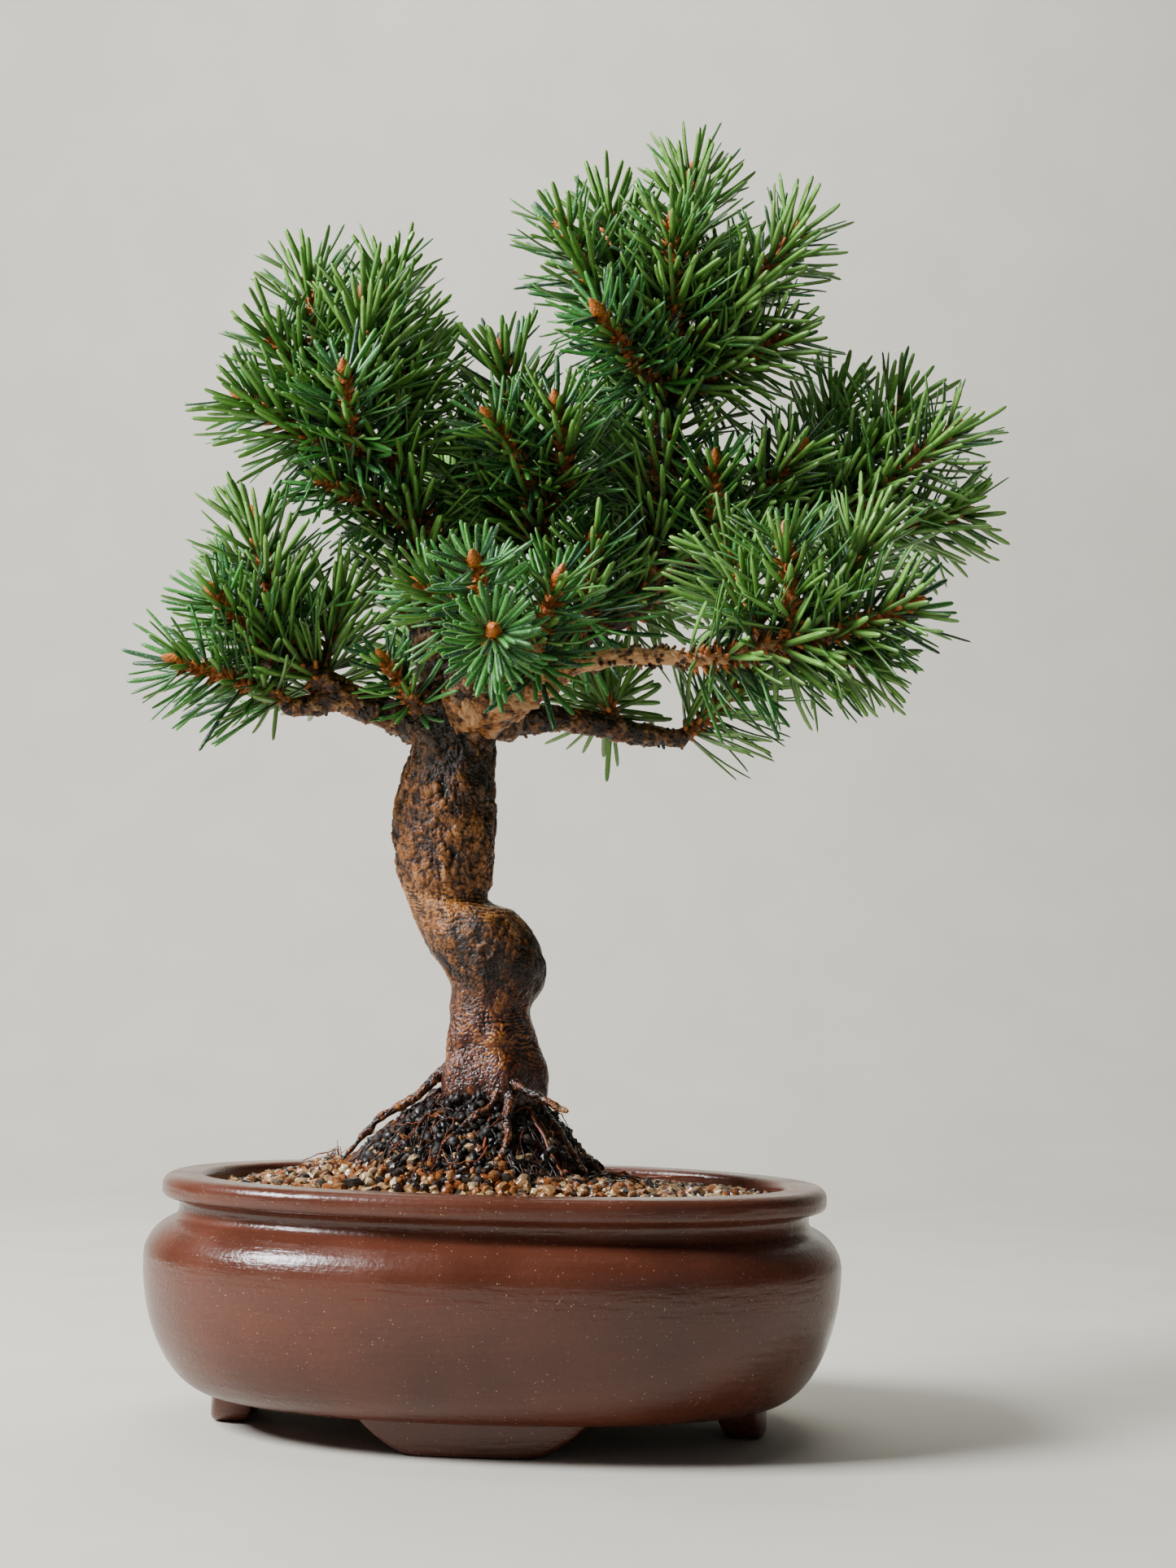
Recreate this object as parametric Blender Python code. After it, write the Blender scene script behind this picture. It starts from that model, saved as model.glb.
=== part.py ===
"""A young mountain pine trained as a bonsai, in an oval clay pot on four cloud feet.

The lists below are in millimetres, measured from the centre of the pot on its table, with the pot's long
side along X. Every object hangs on one empty, which brings the middle of the whole tree's box to the origin.
"""

import math

import bmesh
import bpy
import numpy as np
from mathutils import Vector

MM = 0.001

# Clearance between pieces that touch.
GAP = 0.4

# Pot: half lengths of its oval, which is narrower across by OVAL_DIFFERENCE, and heights.
OVAL_POWER = 2.2
OVAL_DIFFERENCE = 24.0
OVAL_SIDES = 48
FLOOR_UNDERSIDE = 9.0
FLOOR_TOP = 15.0
BASE_HALF_LENGTH = 79.0
BELLY_HALF_LENGTH = 100.0
BELLY_HEIGHT = 47.0
NECK_HALF_LENGTH = 90.5
NECK_HEIGHT = 61.0
RIM_HALF_LENGTH = 95.5
RIM_TOP = 70.0
MOUTH_HALF_LENGTH = 83.5
INNER_WALL = [(MOUTH_HALF_LENGTH, 68.0), (83.0, 63.0), (86.5, 56.0), (93.0, 46.0), (90.5, 30.0), (83.0, 19.0)]
INNER_FLOOR_HALF_LENGTH = 73.0

# Cloud feet, one at each end of both axes of the oval.
FOOT_THICKNESS = 11.0
LONG_SIDE_FOOT_WIDTH = 62.0
SHORT_SIDE_FOOT_WIDTH = 42.0
FOOT_OVERLAP = 2.0

# Drainage: two holes, each under a square of plastic mesh held by a wire clip.
DRAIN_X = 36.0
DRAIN_RADIUS = 7.0
SCREEN_SIDE = 24.0
SCREEN_BARS = 5
SCREEN_BAR_WIDTH = 2.0
SCREEN_THICKNESS = 1.2
WIRE_RADIUS = 0.6
POCKET_SIDE = 25.0
POCKET_TOP = 19.5

# Ground: the soil that fills the pot, the gravel over it and the bare root ball in the middle.
SOIL_TOP = 55.6
LAYER_BOTTOM = 56.0
GRAVEL_AT_WALL = 65.5
GRAVEL_RISE = 7.0
MOUND_CENTRE = (-8.0, 0.0)
MOUND_RADII = (39.0, 36.0)
MOUND_SUMMIT = (-2.0, 0.0)
MOUND_FOOT = 68.0
MOUND_RISE = 33.0
GROUND_RINGS = 5

# The whole tree is turned in its pot by this much.
TREE_TURN = math.radians(-7)


def turned(rows):
    """Turn rows that begin with x and y about the middle of the pot, by the tree's own turn."""
    cosine, sine = math.cos(TREE_TURN), math.sin(TREE_TURN)
    return [(x * cosine - y * sine, x * sine + y * cosine, *rest) for x, y, *rest in rows]


# Trunk: centre and radius of each level ring, from inside the root ball to the crotch. The knee steps
# out to the right under a sharp crease.
TRUNK = turned([
    (-1, 0, 82, 13), (-1, 0, 96, 15), (-1, 0, 103, 14.2), (-2, 0, 107, 13.2), (-2, -1, 111, 12.5),
    (-3, -1, 119, 12), (-1.5, -1, 125, 13.2), (-2.5, -1, 130, 14.9), (-5.3, -1.5, 136, 16.2),
    (-7.4, -2, 141, 16.5), (-9.6, -2, 145, 15.8), (-11.5, -2.5, 147, 14.6), (-15.2, -3.3, 150, 11.8),
    (-16.3, -3.5, 156, 13.6), (-17, -3.7, 163, 14.8), (-17.4, -3.7, 174, 15), (-17.1, -3.7, 181, 14.3),
    (-16.4, -3.5, 187, 13.2), (-15.4, -3.3, 193, 12), (-15.6, -3, 202, 12.6), (-15.5, -2, 212, 11.5),
    (-15, -1, 219, 7),
])
TRUNK_FOOT = 7
TRUNK_SIDES = 16

# Limbs: centre line and radius of each, from the wood it grows out of to its end.
LIMBS = {
    "left_branch": turned([
        (-20, -4, 199, 7), (-28, -7, 202, 5.4), (-38, -12, 205, 4.4), (-46, -17, 208, 4), (-54, -20, 205, 3),
        (-62, -24, 204, 2.4),
    ]),
    "left_riser": turned([
        (-45, -16, 208, 4), (-50, -19, 212, 3.4), (-56, -20, 216, 3), (-62, -22, 221, 2.6),
        (-65, -21, 226, 2.2),
    ]),
    "right_branch": turned([
        (-12, -6, 205, 10), (0, -10, 209, 8), (11, -14, 213, 6), (20, -16, 217, 4.6), (33, -20, 219, 3.4),
        (47, -23, 219, 3), (58, -24, 218, 3), (70, -26, 219, 2.8), (80, -28, 221, 2.6), (88, -27, 223, 2.2),
    ]),
    "low_branch": turned([
        (-7, 5, 204, 6), (1, 12, 204, 4.4), (12, 20, 206, 3.6), (22, 27, 205, 3.4), (34, 34, 203, 3.2),
        (48, 40, 202, 2.6),
    ]),
    "leader": turned([
        (-14, 2, 214, 8.5), (1, 9, 224, 7), (18, 16, 233, 6), (33, 22, 243, 5.4), (40, 24, 262, 4.8),
        (42, 23, 285, 4.2), (43, 21, 303, 3.6), (44, 18, 318, 2.8),
    ]),
    "left_upright": turned([
        (-19, 0, 214, 7), (-25, 2, 229, 5.6), (-28, 3, 248, 4.8), (-31, 1, 266, 4.2), (-36, -4, 278, 3.4),
        (-45, -10, 288, 2.6),
    ]),
    "front_spur": turned([(-12, -9, 209, 6), (-5, -22, 216, 4.4), (0, -31, 221, 3.2)]),
    "middle_upright": turned([(12, 13, 230, 5), (9, 12, 246, 4), (6, 9, 262, 3.2), (5, 5, 272, 2.6)]),
    "right_upright": turned([(39, 24, 256, 4.4), (54, 27, 257, 4), (72, 33, 262, 3.4), (88, 38, 269, 2.6)]),
    "back_branch": turned([(32, 22, 243, 4.6), (31, 37, 250, 4), (33, 51, 257, 3)]),
    "left_back_branch": turned([(-28, 3, 248, 4.2), (-29, 18, 256, 3.6), (-26, 33, 263, 2.8)]),
    "low_back_branch": turned([(-16, 2, 210, 6), (-20, 17, 217, 4.2), (-25, 30, 224, 3)]),
}

# Bare roots that grip the root ball, from the foot of the trunk outwards.
ROOTS = {
    "left_root": turned([
        (-8, -2, 105, 5), (-17, -7, 98, 2.9), (-27, -11, 90, 2.1), (-36, -14, 81, 1.7), (-44, -16, 72, 1.3),
    ]),
    "right_root": turned([(4, -6, 103, 4.5), (9, -14, 97, 2.7), (16, -18, 94, 2), (25, -20, 91.5, 1.7)]),
    "front_left_root": turned([
        (3, -9, 99, 3.8), (2, -16, 92, 2.1), (-5, -21, 86, 1.7), (-10, -26, 80, 1.5), (-13, -30, 73, 1.3),
        (-14, -33, 66, 1.2),
    ]),
    "front_root": turned([
        (6, -11, 96, 3.4), (7, -19, 88, 2), (9, -24, 82, 1.8), (6, -29, 75, 1.6), (2, -33, 67, 1.3),
    ]),
    "right_low_root": turned([(6, 0, 98, 4), (15, -2, 88, 2.6), (23, -5, 79, 1.8), (30, -6, 68, 1.4)]),
    "back_root": turned([(-2, 8, 102, 4.5), (0, 17, 92, 2.6), (5, 24, 82, 1.8), (6, 31, 69, 1.4)]),
    "back_left_root": turned([(-9, 5, 100, 4), (-18, 13, 91, 2.6), (-26, 19, 80, 1.8), (-32, 24, 70, 1.4)]),
}

# Shoots of the last year: where each one starts and where its bud ends.
SHOOTS = [turned(ends) for ends in [
    # Left branch.
    ((-67, -22, 235), (-74, -22, 264)), ((-69, -26, 222), (-82, -38, 239)),
    ((-71, -30, 210), (-91, -46, 216)),
    ((-68, -12, 226), (-85, 6, 250)), ((-53, -10, 221), (-50, -3, 244)), ((-28, -17, 211), (-34, -25, 221)),
    # Left upright.
    ((-43, -13, 306), (-44, -16, 332)), ((-41, 5, 319), (-45, 13, 347)), ((-60, -9, 317), (-63, -10, 341)),
    ((-60, -16, 300), (-73, -20, 319)), ((-44, -22, 285), (-43, -38, 303)),
    ((-61, -21, 286), (-81, -26, 298)),
    ((-34, 2, 296), (-34, 9, 321)), ((-42, -13, 266), (-56, -25, 273)),
    # Middle.
    ((-2, 8, 296), (-7, 3, 319)), ((15, 1, 279), (13, -10, 300)), ((3, -3, 279), (-7, -18, 293)),
    ((-12, 13, 272), (-24, 21, 297)),
    # Top.
    ((45, 10, 330), (45, 4, 358)), ((47, 24, 352), (47, 31, 381)), ((22, 7, 333), (10, 0, 357)),
    ((34, 2, 312), (24, -15, 325)), ((66, 21, 335), (83, 22, 359)), ((28, 20, 341), (19, 26, 369)),
    ((60, 23, 313), (82, 26, 326)), ((53, 34, 327), (61, 47, 353)),
    # Right upright.
    ((68, 26, 271), (85, 21, 291)), ((58, 17, 263), (59, 5, 285)), ((100, 46, 289), (114, 53, 313)),
    ((108, 35, 280), (131, 35, 299)), ((109, 44, 267), (135, 51, 275)), ((84, 53, 289), (92, 64, 317)),
    # Right branch.
    ((86, -30, 229), (84, -37, 255)), ((97, -22, 234), (108, -16, 259)), ((102, -29, 226), (123, -33, 234)),
    ((93, -19, 220), (113, -11, 219)), ((74, -24, 231), (64, -18, 253)),
    # Front spur.
    ((2, -43, 231), (2, -62, 243)), ((6, -49, 219), (11, -73, 220)), ((15, -29, 225), (23, -39, 243)),
    ((-6, -33, 230), (-22, -41, 239)), ((23, 2, 240), (26, -6, 261)),
    # Low branch.
    ((53, 42, 209), (71, 47, 226)), ((24, 34, 211), (17, 51, 223)),
    # Back of the crown.
    ((30, 62, 263), (22, 82, 281)), ((42, 58, 262), (58, 76, 276)), ((-28, 42, 270), (-38, 62, 288)),
    ((-15, 37, 270), (-5, 57, 290)), ((-28, 39, 231), (-38, 60, 243)), ((22, 48, 292), (14, 64, 317)),
]]

# A shoot: a stem of STEM_SIDES faces by STEM_SEGMENTS rows, each face drawn out to one needle.
STEM_RADIUS = 1.6
STEM_SIDES = 5
STEM_SEGMENTS = 4
BUD_LENGTH = 6.0
BUD_RADIUS = 2.1
NEEDLE_LENGTH = 20.0
SHORT_SHOOT = 16.0
SHORT_NEEDLE_LENGTH = 14.0
LOWEST_LEAN = math.radians(30)
HIGHEST_LEAN = math.radians(66)
NEEDLE_HALF_WIDTH = 2.6
TWIG_RADII = (2.3, 1.9, 1.7)
TWIG_REACH = 14.0
TWIG_STRAIGHT = 6.0


def clear_scene():
    """Remove everything that the scene starts with."""
    for thing in list(bpy.data.objects):
        bpy.data.objects.remove(thing)


def make_material(name, colour, roughness, metallic=0.0):
    """Return a Principled material of one colour."""
    made = bpy.data.materials.new(name)
    made.use_nodes = True
    shader = made.node_tree.nodes["Principled BSDF"]
    shader.inputs["Base Color"].default_value = (*colour, 1.0)
    shader.inputs["Roughness"].default_value = roughness
    shader.inputs["Metallic"].default_value = metallic
    return made


def add_piece(name, points, faces, material, parent, smooth=True):
    """Add one object whose mesh is given in millimetres."""
    mesh = bpy.data.meshes.new(name)
    mesh.from_pydata([Vector(point) * MM for point in points], [], faces)
    if smooth:
        mesh.shade_smooth()
        mesh.set_sharp_from_angle(angle=math.radians(40))
    mesh.materials.append(material)
    piece = bpy.data.objects.new(name, mesh)
    bpy.context.scene.collection.objects.link(piece)
    piece.parent = parent
    return piece


def loft(rings):
    """Return points and faces of a solid whose skin runs through the rings, closed by a face at each end."""
    count = len(rings[0])
    points = [tuple(point) for ring in rings for point in ring]
    faces = [tuple(reversed(range(count)))]
    for row in range(len(rings) - 1):
        for side in range(count):
            near = row * count + side
            beside = row * count + (side + 1) % count
            faces.append((near, beside, beside + count, near + count))
    last = (len(rings) - 1) * count
    faces.append(tuple(range(last, last + count)))
    return points, faces


def oval_ring(half_length, height):
    """Return one level ring of the pot's oval, a superellipse."""
    ring = []
    for step in range(OVAL_SIDES):
        turn = 2 * math.pi * step / OVAL_SIDES
        across = math.copysign(abs(math.cos(turn)) ** (2 / OVAL_POWER), math.cos(turn))
        along = math.copysign(abs(math.sin(turn)) ** (2 / OVAL_POWER), math.sin(turn))
        ring.append((half_length * across, (half_length - OVAL_DIFFERENCE) * along, height))
    return ring


def frames_along(route):
    """Return the direction and one steady sideways direction at each point of a route."""
    route = np.asarray(route, float)
    ahead = np.gradient(route, axis=0)
    ahead /= np.linalg.norm(ahead, axis=1, keepdims=True)
    side = np.cross(ahead[0], (0.36, 0.48, 0.8))
    sides = []
    for direction in ahead:
        side = side - direction * side.dot(direction)
        side = side / np.linalg.norm(side)
        sides.append(side)
    return ahead, np.array(sides)


def tube(route, sides, grow=0.0):
    """Return points and faces of a tapered tube along rows of (x, y, z, radius), made thicker by grow."""
    rows = np.asarray(route, float)
    ahead, side = frames_along(rows[:, :3])
    centres = rows[:, :3].copy()
    centres[0] -= ahead[0] * grow
    centres[-1] += ahead[-1] * grow
    turns = 2 * np.pi * np.arange(sides) / sides
    rings = []
    for centre, radius, forward, across in zip(centres, rows[:, 3] + grow, ahead, side):
        other = np.cross(forward, across)
        rings.append(centre + radius * (np.outer(np.cos(turns), across) + np.outer(np.sin(turns), other)))
    return loft(rings)


def trunk_stack(rows, sides, grow=0.0):
    """Return points and faces of level rings along rows of (x, y, z, radius), made wider by grow."""
    turns = 2 * np.pi * np.arange(sides) / sides
    rings = []
    for x, y, z, radius in rows:
        across = x + (radius + grow) * np.cos(turns)
        along = y + (radius + grow) * np.sin(turns)
        rings.append(np.column_stack([across, along, np.full(sides, z)]))
    rings[0][:, 2] -= grow
    return loft(rings)


def add_boolean(piece, operation, helpers):
    """Join or cut a piece with every object of a collection, which is left out of the model."""
    group = bpy.data.collections.new(piece.name + "_" + operation.lower())
    for helper in helpers:
        group.objects.link(helper)
        helper.hide_render = True
        helper.display_type = "WIRE"
    modifier = piece.modifiers.new(operation.title(), "BOOLEAN")
    modifier.operation = operation
    modifier.solver = "EXACT"
    modifier.operand_type = "COLLECTION"
    modifier.collection = group


def arc_between(start, end, steps, bulge_first):
    """Return a quarter of an ellipse from start to end, leaving along the first axis where bulge_first."""
    rows = []
    for step in range(1, steps + 1):
        turn = 0.5 * math.pi * step / steps
        fast = math.sin(turn)
        slow = 1 - math.cos(turn)
        first, second = (fast, slow) if bulge_first else (slow, fast)
        rows.append((start[0] + (end[0] - start[0]) * first, start[1] + (end[1] - start[1]) * second))
    return rows


def pot_profile():
    """Return (half length, height) rows from the underside, up the outside and down the inside."""
    base = (BASE_HALF_LENGTH, FLOOR_UNDERSIDE)
    belly = (BELLY_HALF_LENGTH, BELLY_HEIGHT)
    neck = (NECK_HALF_LENGTH + 0.8, NECK_HEIGHT)
    profile = [(BASE_HALF_LENGTH - 6, FLOOR_UNDERSIDE), base]
    profile += arc_between(base, belly, 7, True)
    profile += arc_between(belly, neck, 4, False)
    profile += [(NECK_HALF_LENGTH, NECK_HEIGHT + 0.6), (NECK_HALF_LENGTH + 1, NECK_HEIGHT + 2)]
    profile += arc_between((RIM_HALF_LENGTH - 2, RIM_TOP - 7), (RIM_HALF_LENGTH, RIM_TOP - 4), 2, True)
    profile += arc_between((RIM_HALF_LENGTH, RIM_TOP - 3), (RIM_HALF_LENGTH - 3, RIM_TOP), 3, False)
    profile += [(MOUTH_HALF_LENGTH + 1.5, RIM_TOP)]
    profile += INNER_WALL
    profile += [(INNER_FLOOR_HALF_LENGTH, FLOOR_TOP)]
    return profile


def foot(turn, width, parent, material):
    """Return one cloud foot, a curved block under the edge of the floor, scalloped at both ends."""
    along = np.linspace(-1, 1, 15)
    side_on = math.sin(turn) != 0 and abs(math.cos(turn)) < 0.5
    reach = BASE_HALF_LENGTH + 0.5
    half_across = reach - OVAL_DIFFERENCE
    rings = []
    for place in along:
        offset = place * width / 2
        drop = np.clip((1 - abs(place)) / 0.45, 0, 1)
        lowest = FLOOR_UNDERSIDE * (1 - drop ** 1.4 * (2 - drop) ** 0.6)
        if side_on:
            outer = half_across * (1 - (abs(offset) / reach) ** OVAL_POWER) ** (1 / OVAL_POWER)
        else:
            outer = reach * (1 - (abs(offset) / half_across) ** OVAL_POWER) ** (1 / OVAL_POWER)
        section = [
            (outer - FOOT_THICKNESS, lowest), (outer - 1.5 - lowest * 0.1, lowest),
            (outer, lowest + 0.25 * (FLOOR_UNDERSIDE + FOOT_OVERLAP - lowest)),
            (outer, FLOOR_UNDERSIDE + FOOT_OVERLAP), (outer - FOOT_THICKNESS, FLOOR_UNDERSIDE + FOOT_OVERLAP),
        ]
        if side_on:
            sign = math.copysign(1, math.sin(turn))
            rings.append([(sign * -offset, sign * out, height) for out, height in section])
        else:
            sign = math.copysign(1, math.cos(turn))
            rings.append([(sign * out, sign * offset, height) for out, height in section])
    points, faces = loft(rings)
    return add_piece("foot", points, faces, material, parent)


def make_pot(parent, material):
    """Add the pot: one piece of clay with four feet and two drainage holes."""
    points, faces = loft([oval_ring(half_length, height) for half_length, height in pot_profile()])
    pot = add_piece("pot", points, faces, material, parent)
    feet = []
    for quarter in range(4):
        width = LONG_SIDE_FOOT_WIDTH if quarter % 2 else SHORT_SIDE_FOOT_WIDTH
        feet.append(foot(quarter * math.pi / 2, width, parent, material))
    add_boolean(pot, "UNION", feet)
    holes = []
    for sign in (-1, 1):
        x = sign * DRAIN_X
        drill = [(x, 0, FLOOR_UNDERSIDE - 2, DRAIN_RADIUS), (x, 0, FLOOR_TOP + 2, DRAIN_RADIUS)]
        points, faces = tube(drill, 20)
        holes.append(add_piece("drain_cutter", points, faces, material, parent))
    add_boolean(pot, "DIFFERENCE", holes)


def make_screen(name, centre_x, parent, material):
    """Add one square of plastic mesh that lies over a drainage hole."""
    pitch = (SCREEN_SIDE - SCREEN_BAR_WIDTH) / (SCREEN_BARS - 1)
    edges = []
    for bar in range(SCREEN_BARS):
        edges += [bar * pitch - SCREEN_SIDE / 2, bar * pitch + SCREEN_BAR_WIDTH - SCREEN_SIDE / 2]
    frame = bmesh.new()
    height = (FLOOR_TOP + GAP) * MM
    grid = [[frame.verts.new(((centre_x + x) * MM, y * MM, height)) for y in edges] for x in edges]
    for i in range(len(edges) - 1):
        for j in range(len(edges) - 1):
            if i % 2 == 0 or j % 2 == 0:
                frame.faces.new((grid[i][j], grid[i][j + 1], grid[i + 1][j + 1], grid[i + 1][j]))
    raised = bmesh.ops.extrude_face_region(frame, geom=frame.faces[:])["geom"]
    risen = [item for item in raised if isinstance(item, bmesh.types.BMVert)]
    bmesh.ops.translate(frame, vec=(0, 0, SCREEN_THICKNESS * MM), verts=risen)
    bmesh.ops.recalc_face_normals(frame, faces=frame.faces[:])
    mesh = bpy.data.meshes.new(name)
    frame.to_mesh(mesh)
    frame.free()
    mesh.materials.append(material)
    screen = bpy.data.objects.new(name, mesh)
    bpy.context.scene.collection.objects.link(screen)
    screen.parent = parent


def make_clip(name, centre_x, parent, material):
    """Add one wire staple: over the mesh, down through the hole and out under the floor."""
    leg = (SCREEN_SIDE - SCREEN_BAR_WIDTH) / (SCREEN_BARS - 1) / 2
    over = FLOOR_TOP + SCREEN_THICKNESS + 2 * GAP + WIRE_RADIUS
    under = FLOOR_UNDERSIDE - GAP - WIRE_RADIUS
    half = [(leg - 0.8, over), (leg, over - 0.8), (leg, under + 1), (leg + 1, under), (leg + 8, under)]
    route = [(centre_x - x, leg, z, WIRE_RADIUS) for x, z in reversed(half)]
    route += [(centre_x + x, leg, z, WIRE_RADIUS) for x, z in half]
    points, faces = tube(route, 8)
    add_piece(name, points, faces, material, parent)


def make_soil(parent, material):
    """Add the soil that fills the pot below the gravel, with a pocket over each drainage screen."""
    lower = [row for row in reversed(INNER_WALL) if row[1] < BELLY_HEIGHT]
    sunk = [(INNER_FLOOR_HALF_LENGTH, FLOOR_TOP)] + lower
    rings = [oval_ring(length - 2 * GAP, height + GAP) for length, height in sunk]
    points, faces = loft(rings + [wall_ring(SOIL_TOP)])
    soil = add_piece("soil", points, faces, material, parent)
    pockets = []
    for sign in (-1, 1):
        half = POCKET_SIDE / 2
        corners = [(-half, -half), (half, -half), (half, half), (-half, half)]
        rings = [[(sign * DRAIN_X + x, y, z) for x, y in corners] for z in (FLOOR_TOP - 3, POCKET_TOP)]
        points, faces = loft(rings)
        pockets.append(add_piece("pocket_cutter", points, faces, material, parent))
    add_boolean(soil, "DIFFERENCE", pockets)


def mound_edge(turn, grow=0.0):
    """Return the plan outline of the root ball at one turn: an oval with five shallow lobes."""
    lobes = 1 + 0.035 * math.sin(5 * turn + 0.6)
    x = MOUND_CENTRE[0] + (MOUND_RADII[0] * lobes + grow) * math.cos(turn)
    y = MOUND_CENTRE[1] + (MOUND_RADII[1] * lobes + grow) * math.sin(turn)
    return np.array((x, y))


def layer(top_rings):
    """Return the rings of a layer of ground: its flat underside from the middle out, then its top back in."""
    under = [[(x, y, LAYER_BOTTOM) for x, y, _ in ring] for ring in top_rings]
    return under + list(reversed(top_rings))


def make_mound(parent, material):
    """Add the root ball: a steep cone of dark, bare soil round the foot of the trunk."""
    summit = np.array(MOUND_SUMMIT)
    rings = []
    for row in range(1, GROUND_RINGS + 1):
        share = row / GROUND_RINGS
        ring = []
        for step in range(OVAL_SIDES):
            turn = 2 * math.pi * step / OVAL_SIDES
            x, y = summit + share * (mound_edge(turn) - summit)
            lumps = 0.8 * math.sin(0.5 * x + 1) * math.sin(0.45 * y)
            ring.append((x, y, MOUND_FOOT + MOUND_RISE * (1 - share ** 1.4) + lumps))
        rings.append(ring)
    points, faces = loft(list(reversed(layer(rings))))
    return add_piece("root_mound", points, faces, material, parent)


def wall_ring(height):
    """Return the level ring that lies just inside the pot's inner wall."""
    rows = list(reversed(INNER_WALL))
    length = float(np.interp(height, [row[1] for row in rows], [row[0] for row in rows]))
    return oval_ring(length - 2 * GAP, height)


def make_gravel(parent, material):
    """Add the top dressing: a ring of gravel from the pot's wall up to the root ball."""
    outside = wall_ring(GRAVEL_AT_WALL)
    at_wall = [wall_ring(height) for _, height in INNER_WALL if LAYER_BOTTOM < height < GRAVEL_AT_WALL]
    under = wall_ring(LAYER_BOTTOM)
    top_rings = []
    for row in range(GROUND_RINGS):
        share = row / (GROUND_RINGS - 1)
        ring = []
        for step in range(OVAL_SIDES):
            inner = mound_edge(2 * math.pi * step / OVAL_SIDES, 2 * GAP)
            x, y = inner + share * (np.array(outside[step][:2]) - inner)
            heap = 1 + 0.35 * math.cos(2 * math.pi * step / OVAL_SIDES - 3.6)
            ring.append((x, y, GRAVEL_AT_WALL + GRAVEL_RISE * heap * (1 - share) ** 1.4))
        top_rings.append(ring)
    inner_foot = [(x, y, LAYER_BOTTOM) for x, y, _ in top_rings[0]]
    rings = [inner_foot, *top_rings, *at_wall, under]
    points = [point for ring in rings for point in ring]
    faces = []
    for row in range(len(rings)):
        below = (row + 1) % len(rings)
        for side in range(OVAL_SIDES):
            beside = (side + 1) % OVAL_SIDES
            faces.append((
                row * OVAL_SIDES + beside, row * OVAL_SIDES + side,
                below * OVAL_SIDES + side, below * OVAL_SIDES + beside,
            ))
    return add_piece("gravel", points, faces, material, parent)


def segments_of(routes):
    """Return the ends and radii of every straight run of the routes, as arrays."""
    starts, ends, radii = [], [], []
    for route in routes:
        rows = np.asarray(route, float)
        starts.append(rows[:-1, :3])
        ends.append(rows[1:, :3])
        radii.append(np.maximum(rows[:-1, 3], rows[1:, 3]))
    return np.concatenate(starts), np.concatenate(ends), np.concatenate(radii)


def distance_to(points, starts, ends):
    """Return the distance from every point to every straight run."""
    runs = ends - starts
    offsets = points[:, None, :] - starts[None]
    share = np.clip((offsets * runs).sum(-1) / (runs * runs).sum(-1), 0, 1)
    return np.linalg.norm(offsets - share[..., None] * runs, axis=-1)


def twig_route(base, tip):
    """Return the twig that carries a shoot: from the nearest limb, bending into the shoot's own line."""
    base = np.array(base, float)
    ahead = np.array(tip, float) - base
    ahead /= np.linalg.norm(ahead)
    behind = base - TWIG_REACH * ahead
    starts, ends, _ = segments_of(LIMBS.values())
    shares = np.linspace(0, 1, 9)[:, None, None]
    spots = (starts + shares * (ends - starts)).reshape(-1, 3)
    root = spots[np.argmin(np.linalg.norm(spots - behind, axis=1))]
    elbow = base - TWIG_STRAIGHT * ahead
    end = base - GAP * ahead
    return [(*root, TWIG_RADII[0]), (*elbow, TWIG_RADII[1]), (*end, TWIG_RADII[2])]


def make_wood(parent, material, twigs):
    """Add the trunk with its limbs, twigs and bare roots, all one grown piece."""
    points, faces = trunk_stack(TRUNK, TRUNK_SIDES)
    wood = add_piece("trunk_and_branches", points, faces, material, parent)
    helpers = []
    runs = [(route, 8) for route in LIMBS.values()]
    runs += [(route, 6) for route in ROOTS.values()]
    runs += [(route, 5) for route in twigs]
    for route, sides in runs:
        points, faces = tube(route, sides)
        helpers.append(add_piece("wood_run", points, faces, material, parent))
    add_boolean(wood, "UNION", helpers)


def cut_round_wood(pieces, parent, material):
    """Cut the foot of the trunk and the roots out of pieces of ground, with clearance."""
    for piece in pieces:
        points, faces = trunk_stack(TRUNK[:TRUNK_FOOT], TRUNK_SIDES, GAP)
        helpers = [add_piece("wood_cutter", points, faces, material, parent)]
        for route in ROOTS.values():
            points, faces = tube(route, 6, GAP)
            helpers.append(add_piece("wood_cutter", points, faces, material, parent))
        add_boolean(piece, "DIFFERENCE", helpers)


def needle_reach(start, direction, length, own, stems, wood):
    """Return how far a needle may run before another shoot or wood is nearer than its width allows."""
    shares = np.linspace(0.06, 1, 32)
    spots = start + np.outer(shares * length, direction)
    half_width = NEEDLE_HALF_WIDTH * (1 - shares) + 0.2
    to_stems = distance_to(spots, stems[0], stems[1])
    mine = to_stems[:, own].copy()
    to_stems[:, own] = np.inf
    clear_of_stems = (to_stems.min(axis=1) - mine) / 2 > half_width
    clear_of_wood = (distance_to(spots, wood[0], wood[1]) - wood[2]).min(axis=1) > half_width
    blocked = np.flatnonzero(~(clear_of_stems & clear_of_wood))
    if len(blocked) == 0:
        return length
    return max(shares[blocked[0]] * length - 1.0, 0.8)


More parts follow.
